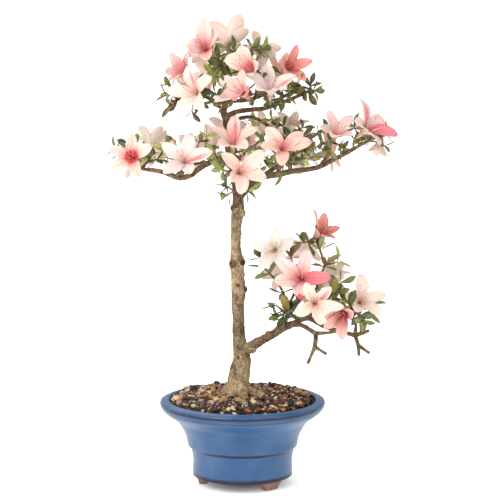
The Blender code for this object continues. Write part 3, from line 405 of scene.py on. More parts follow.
# Leaves: (name, colour, colour of the rib, share).
LEAF_LOOKS = (
    ("leaf, olive", "#5F6528", "#9B9F5D", 40), ("leaf, deep green", "#424B1F", "#757F41", 25),
    ("leaf, fresh green", "#848A39", "#BBC173", 20), ("leaf, bronze", "#5F4A25", "#957F49", 15),
)
LEAF_ACROSS = 2
LEAF_ALONG = 6
LEAF_THICK = 0.3
LEAF_FOLD = 0.28  # how far a leaf's edges rise, against their distance from its rib
LEAF_TURN = 137.5  # from each leaf of a rosette to the next
LEAF_GAP = 0.8
LEAF_ROOM = 1.2  # how far leaves may reach, against a mass's own space
SHADED_BELOW = 330  # height of a mass's middle under which its leaves grow longer
SHADE_GROWTH = 1.22

# Petal tints: the blade, its throat, how far the throat's colour reaches along the petal and how
# softly it ends, and the colour and share of a streak down one side.
Tint = namedtuple("Tint", "blade throat reach soft streak share", defaults=(None, 0.0))
TINTS = {
    "cream": Tint("#E6D1C4", "#E2C2A2", 0.40, 0.30),
    "green": Tint("#DFD0CB", "#DEE4B4", 0.42, 0.30),
    "white": Tint("#E8D7D1", "#E6BCB2", 0.35, 0.30),
    "blush": Tint("#EBCCC4", "#DE958C", 0.42, 0.40),
    "peach": Tint("#ECCFC0", "#DF9A86", 0.36, 0.35),
    "veined": Tint("#EBC6BD", "#DE7E7A", 0.60, 0.50, "#E0666A", 0.4),
    "apricot": Tint("#EDC8B9", "#D96054", 0.44, 0.34),
    "rose": Tint("#EAC8C0", "#D2383E", 0.48, 0.30),
    "salmon": Tint("#E2978B", "#B83A38", 0.64, 0.50),
    "flushed": Tint("#E9B9B2", "#C84448", 0.64, 0.50),
    "coral": Tint("#E0808A", "#C8343E", 0.50, 0.45),
    "ember": Tint("#EDBFB2", "#A81C22", 0.70, 0.34),
    "half": Tint("#EBD7C4", "#DE4A58", 0.55, 0.16),
    "heart": Tint("#EACDBD", "#D22436", 0.52, 0.10),
    "streak": Tint("#E8D3C7", "#E2A89A", 0.35, 0.35, "#E06874", 0.55),
}
BACK = "#D8C7B2"  # the outside of a petal tends to this
BACK_SHARE = 0.45
VEINS_PULL = 0.16  # how far the veins pull the throat's colour outwards, of a petal's length

# The own map of petals and leaves has a column for each shade. The upper half of a column is the
# inside or upper face, and the lower half the other.
OWN_MAP = "OFBake"
SHADES = 4
EDGE = 0.04  # of a cell, left free round its drawing

# Stage, in metres: (name, place, size, power) of a lamp.
LAMPS = (
    ("key", (-1.5, -1.8, 1.9), 1.2, 34), ("fill", (1.8, -1.6, 0.9), 1.6, 5),
    ("back", (-0.6, 2.0, 2.0), 1.6, 8),
)
LAMPS_AIM = (0, 0, 0.3)
FLOOR_SIZE = 40.0
GLOW_FROM = (60, 100)  # mm from the pot's axis between which the floor's own light comes up
WINDOW_SIDE = (-0.55, -0.45, 0.70)  # the direction the soft light mostly comes from
SENSOR = 36.0
IMAGE_SIDE = 500
CAMERA_FOCAL = 2240  # in pixels of an image of that side
CAMERA_PLACE = (9.5, -2800, 712)  # mm, from the pot's axis
CAMERA_PITCH = 8.35  # degrees down


def linear(colour):
    """An sRGB hex colour as linear red, green and blue."""
    parts = [int(colour[start:start + 2], 16) / 255 for start in (1, 3, 5)]
    return tuple(c / 12.92 if c <= 0.04045 else ((c + 0.055) / 1.055) ** 2.4 for c in parts)


def colour_property(name, description, colour):
    return bpy.props.FloatVectorProperty(name=name, description=description, subtype="COLOR",
                                         default=linear(colour))


def number_property(name, description, value):
    kind = bpy.props.IntProperty if isinstance(value, int) else bpy.props.FloatProperty
    return kind(name=name, description=description, default=value)


class PotSettings(bpy.types.PropertyGroup):
    turns: number_property("Facets", "Steps round the pot", 144)
    blue: colour_property("Glaze", "Blue of the glaze where it lies thick", "#325580")
    thin: colour_property("Thin glaze", "Colour along edges, where the glaze runs thin", "#20202E")
    clay: colour_property("Clay", "Bare clay of the feet", "#8C6C60")


class GravelSettings(bpy.types.PropertyGroup):
    count: number_property("Grains", "Grains on the soil", 1500)
    smallest: number_property("Smallest", "Half length of the smallest grain in mm", 2.2)
    largest: number_property("Largest", "Half length of the largest grain in mm", 7.2)


class WoodSettings(bpy.types.PropertyGroup):
    skin: number_property("Skin step", "Size of the bark's faces in mm", 0.88)
    extra: number_property("Swelling", "Added to radii, for what softening takes, in mm", 0.5)
    relief: number_property("Relief", "Depth of the bark's cracks on the trunk in mm", 0.9)
    light: colour_property("Bark", "Weathered face of the bark", "#AE9674")
    dark: colour_property("Stained bark", "Bark where it has darkened", "#6F5537")
    young: colour_property("Young bark", "Bark of the upper boughs", "#7A5E42")
    scar: colour_property("Scars", "Healed cuts and knots", "#75543A")


class LeafSettings(bpy.types.PropertyGroup):
    sprays: number_property("Fine sprays", "Leafy side twigs added to each mass", 3)
    leaves: number_property("Leaves", "Leaves in the rosette of a spray", 5)
    shortest: number_property("Shortest leaf", "Length in mm", 12.5)
    longest: number_property("Longest leaf", "Length in mm", 20.5)
    width: number_property("Leaf width", "Share of its length", 0.44)


class BloomSettings(bpy.types.PropertyGroup):
    length: number_property("Petal length", "From the throat in mm", 35.0)
    width: number_property("Petal width", "At the widest in mm", 15.8)
    thickness: number_property("Petal thickness", "In mm", 0.35)
    stamens: number_property("Stamens", "Stamens of a bloom", 5)


class StageSettings(bpy.types.PropertyGroup):
    floor: colour_property("Floor", "Colour of the floor", "#FDFDFC")
    daylight: number_property("Daylight", "Strength of the light from the window's side", 1.05)
    shade: number_property("Shade", "Strength of the light from the room's side", 0.45)
    glow: number_property("Table light", "Light that the floor gives itself", 0.6)


SETTINGS = {
    "azalea_pot": PotSettings, "azalea_gravel": GravelSettings, "azalea_wood": WoodSettings,
    "azalea_leaf": LeafSettings, "azalea_bloom": BloomSettings, "azalea_stage": StageSettings,
}


# Directions and courses.


def aim_vector(turn, lift):
    turn, lift = math.radians(turn), math.radians(lift)
    level = math.cos(lift)
    return Vector((math.sin(turn) * level, -math.cos(turn) * level, math.sin(lift)))


def square_to(axis):
    """Two unit vectors square to an axis: one level, to the right of who looks against it."""
    axis = axis.normalized()
    level = Vector((0, 0, 1)) if abs(axis.z) < 0.95 else Vector((0, 1, 0))
    across = level.cross(axis).normalized()
    return across, axis.cross(across)


def round_about(axis, angle):
    """The unit vector square to an axis that stands at an angle in radians round it."""
    across, upward = square_to(axis)
    return across * math.cos(angle) + upward * math.sin(angle)


def smooth(share):
    share = min(1.0, max(0.0, share))
    return share * share * (3 - 2 * share)


def through(course, step):
    """Points about a step apart on the smooth curve through a course of (x, y, height, radius)."""
    points = [Vector(point) for point in course]
    points = [2 * points[0] - points[1]] + points + [2 * points[-1] - points[-2]]
    found = []
    for a, b, c, d in zip(points, points[1:], points[2:], points[3:]):
        count = max(1, round((c.xyz - b.xyz).length / step))
        for index in range(count):
            t = index / count
            found.append(0.5 * (2 * b + (c - a) * t + (2 * a - 5 * b + 4 * c - d) * t * t
                                + (3 * b - a - 3 * c + d) * t ** 3))
    return found + [points[-2]]


# Meshes.


def as_mesh(name, made):
    mesh = bpy.data.meshes.new(name)
    made.to_mesh(mesh)
    made.free()
    return mesh


def add_object(name, data):
    obj = bpy.data.objects.new(name, data)
    bpy.context.scene.collection.objects.link(obj)
    return obj


def evaluated(obj):
    graph = bpy.context.evaluated_depsgraph_get()
    return bpy.data.meshes.new_from_object(obj.evaluated_get(graph))


def tubes(courses, rings):
    """Closed round limbs along courses of (x, y, height, radius), as one bmesh."""
    curve = bpy.data.curves.new("limbs", "CURVE")
    curve.dimensions = "3D"
    curve.bevel_depth = 1.0
    curve.bevel_resolution = rings
    curve.use_fill_caps = True
    for course in courses:
        spline = curve.splines.new("POLY")
        spline.points.add(len(course) - 1)
        for point, (x, y, height, radius) in zip(spline.points, course):
            point.co = (x, y, height, 1)
            point.radius = radius
    holder = add_object("limbs", curve)
    mesh = evaluated(holder)
    made = bmesh.new()
    made.from_mesh(mesh)
    bmesh.ops.remove_doubles(made, verts=made.verts, dist=1e-4)
    bmesh.ops.recalc_face_normals(made, faces=made.faces)
    bpy.data.objects.remove(holder)
    bpy.data.curves.remove(curve)
    bpy.data.meshes.remove(mesh)
    return made


def piece(name, mesh, materials, nodes=()):
    """Puts a finished mesh or bmesh in the frame as a piece that stands for the nodes named."""
    if isinstance(mesh, bmesh.types.BMesh):
        mesh = as_mesh(name, mesh)
    mesh.transform(TO_FRAME)
    for material in materials:
        mesh.materials.append(material)
    mesh.shade_smooth()
    obj = add_object(name, mesh)
    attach(obj, BODY)
    if nodes:
        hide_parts(*nodes)
    return obj


# Materials.


def add(tree, kind, inputs=None, **settings):
    """Adds a node: settings are its properties, and each input is a value or an output to link."""
    made = tree.nodes.new(kind)
    for name, value in settings.items():
        setattr(made, name, value)
    for key, value in (inputs or {}).items():
        if isinstance(value, bpy.types.NodeSocket):
            tree.links.new(value, made.inputs[key])
        else:
            made.inputs[key].default_value = value
    return made


class Look:
    """A material in the making. Most of its methods add a node and give that node's output."""

    def __init__(self, name, roughness, **sockets):
        self.material = bpy.data.materials.new(name)
        self.material.use_nodes = True
        self.tree = self.material.node_tree
        self.shader = self.tree.nodes["Principled BSDF"]
        for socket, value in {"Roughness": roughness, **sockets}.items():
            self.shader.inputs[socket.replace("_", " ")].default_value = value

    def place(self):
        """The place on the object, in millimetres."""
        return self.times(add(self.tree, "ShaderNodeTexCoord").outputs["Object"], (1 / MM,) * 3)

    def height(self, place):
        return add(self.tree, "ShaderNodeSeparateXYZ", {0: place}).outputs["Z"]

    def times(self, vector, shares):
        return add(self.tree, "ShaderNodeVectorMath", {0: vector, 1: shares},
                   operation="MULTIPLY").outputs[0]

    def math(self, operation, *values):
        return add(self.tree, "ShaderNodeMath", dict(enumerate(values)), operation=operation).outputs[0]

    def noise(self, place, patch, detail=2.0, roughness=0.5):
        """Soft noise from 0 to 1, in patches of about the size given."""
        return add(self.tree, "ShaderNodeTexNoise", {
            "Vector": place, "Scale": 1 / patch, "Detail": detail, "Roughness": roughness,
        }).outputs["Fac"]

    def ramp(self, share, *stops):
        """The tone for a share, between stops of (share, colour or grey)."""
        made = add(self.tree, "ShaderNodeValToRGB", {"Fac": share})
        elements = made.color_ramp.elements
        while len(elements) < len(stops):
            elements.new(0.5)
        for element, (place, tone) in zip(elements, stops):
            element.position = place
            element.color = (*tone, 1) if isinstance(tone, Vector) else (tone, tone, tone, 1)
        return made.outputs["Color"]

    def bands(self, height, top, bands):
        """The grey for a height, between bands of (height, grey)."""
        return self.ramp(self.math("DIVIDE", height, top), *((level / top, tone) for level, tone in bands))

    def mix(self, share, one, other, blend="MIX"):
        """Mixes a share of another colour into one."""
        if not isinstance(other, bpy.types.NodeSocket):
            other = (*other, 1)
        return add(self.tree, "ShaderNodeMix", {0: share, 6: one, 7: other}, data_type="RGBA",
                   blend_type=blend).outputs[2]

    def own_map(self):
        """(across, along, column, inside) read from the own map of a petal or leaf."""
        spot = add(self.tree, "ShaderNodeUVMap", uv_map=OWN_MAP).outputs[0]
        spot = add(self.tree, "ShaderNodeSeparateXYZ", {0: spot}).outputs
        cells = [self.math("MULTIPLY", spot["X"], float(SHADES)), self.math("MULTIPLY", spot["Y"], 2.0)]
        return [self.math(part, cell) for part in ("FRACT", "FLOOR") for cell in cells]

    def grain(self, across, along, column, shares, detail):
        """Noise drawn out over a petal or leaf, and different in each column."""
        spot = add(self.tree, "ShaderNodeCombineXYZ", {0: across, 1: along, 2: column}).outputs[0]
        return self.noise(self.times(spot, shares), 1.0, detail)

    def two_sides(self, body, inside, other, share):
        """A body whose outside has a share of another colour."""
        return self.mix(self.math("MULTIPLY_ADD", inside, -share, share), body, other)

    def shaded(self, body, column, darkest, step):
        """A body that is a step lighter in each column of the own map."""
        shade = self.math("MULTIPLY_ADD", column, step, darkest)
        return add(self.tree, "ShaderNodeVectorMath", {0: body, "Scale": shade},
                   operation="SCALE").outputs[0]

    def done(self, body, relief=None, strength=0.0, depth=0.0):
        """The material, with its colour and, by some noise, a bump of a depth in millimetres."""
        self.tree.links.new(body, self.shader.inputs["Base Color"])
        if relief is not None:
            bump = add(self.tree, "ShaderNodeBump", {
                "Height": relief, "Strength": strength, "Distance": depth * MM})
            self.tree.links.new(bump.outputs[0], self.shader.inputs["Normal"])
        return self.material


def glaze_material():
    """Stoneware glaze, dipped and fired: a soft gloss, uneven, that pools to a cloudy
    blue and breaks to near black along edges, where it runs thin."""
    pot = bpy.context.scene.azalea_pot
    look = Look("dipped stoneware glaze", 0.32, Specular_IOR_Level=0.32)
    place, blue = look.place(), Vector(pot.blue)
    clouds = look.ramp(look.noise(place, 34, 3.0), (0.30, blue * 0.78), (0.50, blue),
                       (0.70, Vector((blue.x * 1.5, blue.y * 1.25, blue.z * 1.1))))
    wander = look.math("MULTIPLY", look.noise(place, 14), GLAZE_WANDER)
    thin = look.bands(look.math("ADD", wander, look.height(place)), TOP_OF_GLAZE,
                      [(band + GLAZE_WANDER / 2, share) for band, share in GLAZE_BANDS])
    return look.done(look.mix(thin, clouds, pot.thin), look.noise(place, 7), 0.12, 1.2)


def clay_material():
    """Unglazed stoneware clay: dull, open and sandy, with iron specks."""
    look = Look("bare stoneware clay", 0.85)
    clay = Vector(bpy.context.scene.azalea_pot.clay)
    sand = look.noise(look.place(), 1.6, 5.0)
    return look.done(look.ramp(sand, (0.32, clay * 0.6), (0.5, clay), (0.68, clay * 1.3)), sand, 0.5, 0.4)


def grain_material(name, colour, spread):
    """A kind of crushed stone or fired clay: dull, speckled by its minerals."""
    look = Look(name, 0.8)
    colour = Vector(linear(colour))
    specks = look.noise(look.place(), 1.4, 4.0)
    tone = look.ramp(specks, (0.36, colour * (1 - spread)), (0.5, colour), (0.64, colour * (1 + spread)))
    return look.done(tone, specks, 0.6, 0.5)


def bark_material(name, light, dark, patch, bands=()):
    """Old bark: dry, matt and finely cracked, mottled where flakes have weathered to grey-tan. Bands
    are heights and how much of its tone the bark there keeps, as painted shade."""
    look = Look(name, 0.88)
    place = look.place()
    drawn = look.times(place, (1, 1, 0.75))
    flakes = look.ramp(look.noise(drawn, patch, 5.0, 0.65), (0.36, dark), (0.45, dark * 0.5 + light * 0.5),
                       (0.55, light), (0.66, light * 1.3))
    cracks = look.noise(drawn, 2.3, 5.0, 0.7)
    tone = look.ramp(cracks, (0.37, 0.22), (0.46, 0.85), (0.56, 1.05), (0.66, 1.35))
    body = look.mix(1.0, flakes, tone, "MULTIPLY")
    # Painted shade: the bands darken the bark by height.
    if bands:
        body = look.mix(1.0, body, look.bands(look.height(place), TOP_OF_BARK, bands), "MULTIPLY")
    return look.done(body, cracks, 0.8, 0.5)


def petal_material(name, tint):
    """A petal: thin, soft and faintly velvety, lit through, with fine veins that fan along it."""
    look = Look(f"petal, {name}", 0.55, Sheen_Weight=0.15, Subsurface_Weight=0.06,
                Subsurface_Scale=0.004)
    across, along, column, inside = look.own_map()
    veins = look.grain(across, along, column, (15.0, 1.8, 5.0), 2.0)
    ragged = look.math("MULTIPLY_ADD", veins, VEINS_PULL, along)
    blade, throat = Vector(linear(tint.blade)), Vector(linear(tint.throat))
    end = tint.reach + VEINS_PULL / 2
    body = look.ramp(ragged, (0.10, throat * 0.9), (max(0.12, end - tint.soft), throat),
                     (end, throat.lerp(blade, 0.75)), (min(0.98, end + 0.18), blade))
    if tint.share:
        wide = 0.46 * tint.share
        side = look.ramp(across, (0.0, 0.0), (0.44, 0.0), (0.52, 1.0), (0.52 + wide, 1.0),
                         (min(1.0, 0.60 + wide), 0.0))
        reach = look.ramp(ragged, (0.15, 0.3), (0.35, 1.0), (0.75, 0.9), (1.0, 0.0))
        body = look.mix(look.math("MULTIPLY", side, reach), body, linear(tint.streak))
    rib = look.ramp(across, (0.42, 0.0), (0.5, 0.45), (0.58, 0.0))
    lines = look.ramp(veins, (0.34, 0.5), (0.50, 0.0))
    body = look.mix(look.math("MAXIMUM", rib, lines), body, throat.lerp(blade, 0.35))
    body = look.two_sides(body, inside, linear(BACK), BACK_SHARE)
    return look.done(look.shaded(body, column, 0.93, 0.035), veins, 0.5, 0.5)


def leaf_material(name, colour, rib):
    """An evergreen leaf: leathery with a soft gloss, and a paler rib and underside."""
    look = Look(name, 0.36)
    across, along, column, inside = look.own_map()
    colour, rib = Vector(linear(colour)), Vector(linear(rib))
    blotch = look.grain(across, along, column, (4.0, 5.0, 3.0), 3.0)
    body = look.ramp(blotch, (0.34, colour * 0.68), (0.5, colour), (0.66, colour.lerp(rib, 0.35)))
    body = look.mix(look.ramp(across, (0.42, 0.0), (0.5, 0.7), (0.58, 0.0)), body, rib)
    body = look.two_sides(body, inside, rib, 0.5)
    return look.done(look.shaded(body, column, 0.80, 0.14))


def plain_material(name, colour, roughness, patch):
    """A small soft part, such as a stamen or a bud, with a slight change of tone along it."""
    look = Look(name, roughness)
    colour = Vector(linear(colour))
    return look.done(look.ramp(look.noise(look.place(), patch), (0.35, colour * 0.75), (0.65, colour * 1.15)))


# How a mass branches: the same rule as in the solids, carried on to finer twigs.


class Fork:
    """A point on a mass's twigs: where it is, which way it grows and how many ends it carries."""

    def __init__(self, place, heading, before=None):
        self.place = place
        self.heading = heading
        self.before = before
        self.way = before.way + (place - before.place).length if before else 0.0
        self.ends = 0

    def carry(self, wood):
        fork = self
        while fork:
            fork.ends += wood
            fork = fork.before

    def radius(self):
        return TWIG_RADIUS * max(1, self.ends) ** TWIG_GROWTH


def bend(start, leave, end, arrive, t):
    """A point on the curve that leaves start and arrives at end by the two given headings."""
    reach = (end - start).length * 0.35
    one, two = start + leave * reach, end - arrive * reach
    s = 1 - t
    return start * s ** 3 + one * 3 * s * s * t + two * 3 * s * t * t + end * t ** 3


def grow_twigs(root, heading, ends, finer):
    """Each end, nearest first, is reached from the fork that gives it the shortest way, and the
    finer ends after them. An end is its place, the heading it is reached by and how many ends'
    worth of wood it adds."""
    forks = [Fork(root, heading)]
    forks.append(Fork(root + heading * STEM_LENGTH, heading, forks[0]))
    twigs = [forks[:]]
    nearest = sorted(ends, key=lambda item: (item[0] - root).length)
    for end, arrive, wood in nearest + finer:
        source = min(forks[1:], key=lambda fork: (end - fork.place).length + WAY_BACK * fork.way)
        steps = max(2, round((end - source.place).length / TWIG_STEP))
        leave = (source.heading + (end - source.place).normalized()).normalized()
        twig = [source]
        for step in range(1, steps + 1):
            point = bend(source.place, leave, end, arrive, step / steps)
            twig.append(Fork(point, (point - twig[-1].place).normalized(), twig[-1]))
        twig[-1].heading = arrive
        twig[-1].carry(wood)
        forks += twig[1:]
        twigs.append(twig)
    return twigs


def spray_ends(mass, chance, count, band, highest=1.0):
    """Seeded ends spread through the outer part of the mass's space, away from its front."""
    middle, half = Vector(mass.middle), Vector(mass.half)
    points = []
    while len(points) < count:
        way = Vector([chance.uniform(-1, 1) for _ in range(3)])
        if 0.3 < way.length < 1 and way.y > FRONT_FREE and way.z < highest:
            way = way.normalized() * chance.uniform(*band)
            points.append(middle + Vector([way[axis] * half[axis] for axis in range(3)]))
    return points


def facing_outwards(mass, points):
    middle = Vector(mass.middle)
    return [(point, ((point - middle).normalized() + Vector((0, 0, 0.5))).normalized(), 1)
            for point in points]


def within(mass, point, room):
    offset = point - Vector(mass.middle)
    return sum((offset[axis] / mass.half[axis]) ** 2 for axis in range(3)) <= room * room


def throat_middle(bloom):
    return Vector((bloom.x, bloom.y, bloom.z))


def bloom_foot(bloom):
    axis = aim_vector(bloom.turn, bloom.lift)
    return throat_middle(bloom) - axis * THROAT_LENGTH * bloom.size, axis, 1


def branch(mass):
    """(twigs, ends with blooms, ends with leaves, finer ends, radius of the bough's tip) of a mass."""
    course = BOUGHS[mass.limb]
    tip, before = Vector(course[-1][:3]), Vector(course[-2][:3])
    heading = (tip - before).normalized()
    chance = random.Random(mass.name)
    flowers = [bloom_foot(bloom) for bloom in mass.blooms]
    leafy = [Vector(point) for point in mass.chosen] + spray_ends(mass, chance, mass.sprays, SPRAY_BAND)
    leafy = facing_outwards(mass, leafy)
    stubs = [(Vector(point), (Vector(point) - tip).normalized(), STUB_WOOD) for point in mass.stubs]
    fine_count = bpy.context.scene.azalea_leaf.sprays if flowers else 0
    finer = spray_ends(mass, random.Random(mass.name + " finer"), fine_count, FINE_BAND, FINE_TOP)
    finer = facing_outwards(mass, finer + [Vector(point) for point in TUFTS.get(mass.name, ())])
    twigs = grow_twigs(tip - heading, heading, flowers + leafy + stubs, finer)
    return twigs, flowers, leafy, finer, course[-1][3]


# Petals and leaves.


def faces_of(corners):
    """The faces that meet the corners, each once and in the same order on every run."""
    return list(dict.fromkeys(face for corner in corners for face in corner.link_faces))


def new_sheet(made, layer, columns, rows, column):
    """The corners and faces of a fresh grid, laid over the inside cell of a column of the own map."""
    corners = bmesh.ops.create_grid(made, x_segments=columns, y_segments=rows, size=0.5)["verts"]
    faces = faces_of(corners)
    for face in faces:
        for loop in face.loops:
            across, along = loop.vert.co.x + 0.5, loop.vert.co.y + 0.5
            loop[layer].uv = ((column + EDGE + (1 - 2 * EDGE) * across) / SHADES,
                              0.5 + (EDGE + (1 - 2 * EDGE) * along) / 2)
    return corners, faces


def close_sheet(made, faces, layer, thickness):
    """Gives a sheet its thickness, and its new side the outside cell of the own map."""
    for face in faces:
        face.normal_update()
    for corner in {corner for face in faces for corner in face.verts}:
        corner.normal_update()
    shell = bmesh.ops.solidify(made, geom=faces, thickness=thickness)
    for face in shell["geom"]:
        if isinstance(face, bmesh.types.BMFace):
            for loop in face.loops:
                loop[layer].uv.y -= 0.5


def out_of_line(bloom, number):
    """The swing of a petal out of its even place, and its shares of the length and the width."""
    for petal, swing, *shares in bloom.odd:
        if petal == number:
            return (swing, *shares, 1.0)[:3]
    return 0.0, 1.0, 1.0


def petal_rows(bloom, number, chance):
    """The direction across a petal, and its middle line from the bloom's foot out, as (point,
    normal, bend radius, half width) for each row."""
    settings = bpy.context.scene.azalea_bloom
    axis = aim_vector(bloom.turn, bloom.lift)
    swing, long_share, wide_share = out_of_line(bloom, number)
    outward = round_about(axis, math.radians(90 - (bloom.roll + 360 / PETALS * number + swing)))
    sideways = outward.cross(axis)
    middle = throat_middle(bloom)
    rows = []
    for step in range(THROAT_STEPS):
        share = step / THROAT_STEPS
        radius = (FOOT_RADIUS + (THROAT_RADIUS / 2 - FOOT_RADIUS) * share) * bloom.size
        centre = middle - axis * THROAT_LENGTH * bloom.size * (1 - share) + outward * radius
        rows.append((centre, -outward, radius, math.pi / PETALS * radius * 1.1))
    point = middle + outward * THROAT_RADIUS / 2 * bloom.size
    end = PETAL_END[bloom.form] + chance.uniform(-6, 10)
    length = settings.length * bloom.size * long_share * chance.uniform(0.97, 1.04)
    width = settings.width / 2 * bloom.size * wide_share * chance.uniform(0.92, 1.08)
    sway = chance.uniform(*PETAL_SWAY)
    curl = chance.uniform(*PETAL_CURL)
    for step in range(SPINE_STEPS + 1):
        share = step / SPINE_STEPS
        lean = math.radians(PETAL_START + (end - PETAL_START) * share ** 0.7 + curl * share ** 4)
        if share < PETAL_WIDEST:
            half = PETAL_ROOT + (width - PETAL_ROOT) * smooth(share / PETAL_WIDEST) ** 0.68
        else:
            half = width * max(0.05, 1 - ((share - PETAL_WIDEST) / (1 - PETAL_WIDEST)) ** 2.0) ** 0.58
        normal = axis * math.sin(lean) - outward * math.cos(lean)
        rows.append((point.copy(), normal, THROAT_RADIUS * bloom.size * (0.8 + 4.2 * share), half))
        ahead = outward * math.sin(lean) + axis * math.cos(lean) + sideways * sway * share
        point += ahead.normalized() * length / SPINE_STEPS
    return sideways, rows


def add_petal(made, layer, bloom, number, chance):
    """One petal: a trough at its root that flattens, folds and waves outwards."""
    sideways, rows = petal_rows(bloom, number, chance)
    last = len(rows) - 1
    fold = chance.uniform(*PETAL_FOLD)
    waves, phase = chance.uniform(1.2, 2.4), chance.uniform(0, 6.28)
    twist = chance.uniform(*PETAL_TWIST)
    corners, faces = new_sheet(made, layer, PETAL_ACROSS, last, chance.randrange(SHADES))
    for corner in corners:
        row = round((corner.co.y + 0.5) * last)
        centre, normal, radius, half = rows[row]
        side = corner.co.x * 2
        share = max(0, row - THROAT_STEPS) / SPINE_STEPS
        turn = side * half / radius
        rise = radius * (1 - math.cos(turn)) + abs(side) * half * fold * share
        rise += math.sin(waves * share * 6.28 + phase + side) * WAVE_HEIGHT * half * side ** 2 * share
        across = sideways * math.cos(twist * share) + normal * math.sin(twist * share)
        corner.co = centre + across * radius * math.sin(turn) + normal * rise
    close_sheet(made, faces, layer, bpy.context.scene.azalea_bloom.thickness)


def add_throat(made, layer, bloom):
    """The ring of flesh that closes a bloom's throat round the stamens."""
    axis = aim_vector(bloom.turn, bloom.lift)
    turn = axis.to_track_quat("Z", "Y").to_matrix().to_4x4()
    middle = throat_middle(bloom) - axis * THROAT_DEPTH * bloom.size
    ring = bmesh.ops.create_cone(made, cap_ends=False, segments=2 * PETALS, radius1=0.3 * bloom.size,
                                 radius2=THROAT_RADIUS * 0.95 * bloom.size, depth=2.5 * bloom.size,
                                 matrix=Matrix.Translation(middle) @ turn)
    for face in faces_of(ring["verts"]):
        face.normal_flip()
        for loop in face.loops:
            loop[layer].uv = (0.3 / SHADES, 0.5 + THROAT_TONE / 2)


def add_leaf(made, layer, root, heading, normal, length, width, droop, column):
    """One leaf as a sheet: a short stalk, widest past its middle, folded and drooping."""
    side = heading.cross(normal).normalized()
    normal = side.cross(heading).normalized()
    corners, faces = new_sheet(made, layer, LEAF_ACROSS, LEAF_ALONG, column)
    for corner in corners:
        share = corner.co.y + 0.5
        swell = math.sin(math.pi * min(1, share * 0.95 + 0.03) ** 1.35)
        reach = corner.co.x * length * width * max(0.08, swell) ** 0.75
        drop = droop * length * share * share
        corner.co = root + heading * length * share + side * reach + normal * (abs(reach) * LEAF_FOLD - drop)
    close_sheet(made, faces, layer, LEAF_THICK)


def rosette(end, heading, count, leans, lengths, chance):
    """Leaves round a twig's end, each as (root, heading, normal, length)."""
    start = chance.uniform(0, 360)
    for number in range(count):
        outward = round_about(heading, math.radians(start + LEAF_TURN * number))
        lean = math.radians(leans[0] + (leans[1] - leans[0]) * number / max(1, count - 1)
                            + chance.uniform(-10, 10))
        along = heading * math.cos(lean) + outward * math.sin(lean)
        normal = heading * math.sin(lean) - outward * math.cos(lean)
        yield end - heading * LEAF_GAP * number, along, normal, chance.uniform(*lengths)


# Operators.


class PieceOperator:
    bl_options = {"REGISTER", "UNDO"}


class AZALEA_OT_bowl(PieceOperator, bpy.types.Operator):
    """Turns the bowl of the pot from its outline"""

    bl_idname = "azalea.bowl"
    bl_label = "Bowl"

    def execute(self, context):
        made = bmesh.new()
        outline = through([(radius, height, 0, 0) for radius, height in POT_OUTSIDE + POT_INSIDE],
                          POT_STEP)
        corners = [made.verts.new((point[0], 0, point[1])) for point in outline]
        edges = [made.edges.new(pair) for pair in zip(corners, corners[1:] + corners[:1])]
        bmesh.ops.spin(made, geom=corners + edges, axis=(0, 0, 1), angle=2 * math.pi,
                       steps=context.scene.azalea_pot.turns, use_merge=True)
        bmesh.ops.remove_doubles(made, verts=made.verts, dist=1e-3)
        bmesh.ops.recalc_face_normals(made, faces=made.faces)
        piece("bowl", made, [glaze_material()], ["pot_bowl"])
        return {"FINISHED"}


class AZALEA_OT_feet(PieceOperator, bpy.types.Operator):
    """Shapes the three feet under the pot"""

    bl_idname = "azalea.feet"
    bl_label = "Feet"

    def execute(self, context):
        clay = clay_material()
        for number, turn in enumerate(FOOT_TURNS, 1):
            outward = aim_vector(turn, 0)
            side = Vector((-outward.y, outward.x, 0))
            made = bmesh.new()
            rings = []
            for height, draw_in in FOOT_RINGS:
                share = smooth(height / FOOT_RINGS[-1][0])
                inner, outer, half = (low + (high - low) * share - draw_in * way for low, high, way
                                      in zip(FOOT_SOLE, FOOT_TOP, (-1, 1, 1)))
                middle, depth = outward * (inner + outer) / 2, outward * (outer - inner) / 2
                rings.append([made.verts.new(middle + depth * a + side * half * b + Vector((0, 0, height)))
                              for a, b in FOOT_CORNERS])
            for low, high in zip(rings, rings[1:]):
                for step in range(len(low)):
                    made.faces.new((low[step - 1], low[step], high[step], high[step - 1]))
            made.faces.new(rings[0])
            made.faces.new(rings[-1])
            bmesh.ops.recalc_face_normals(made, faces=made.faces)
            piece(f"foot_{number}", made, [clay], [f"pot_foot_{number}"])
        return {"FINISHED"}


def soil_height(radius):
    for (inner, high), (outer, low) in zip(SOIL_CROWN, SOIL_CROWN[1:]):
        if radius <= outer:
            return high + (low - high) * (radius - inner) / (outer - inner)
    return SOIL_CROWN[-1][1]


def root_reach(angle, height):
    """How far surface roots push the trunk's side out, at an angle and a height above the soil."""
    reach = sum(length * max(0.0, math.cos(angle - math.radians(turn))) ** width
                for turn, length, width in ROOTS)
    return reach * math.exp(-height / ROOT_FADE)


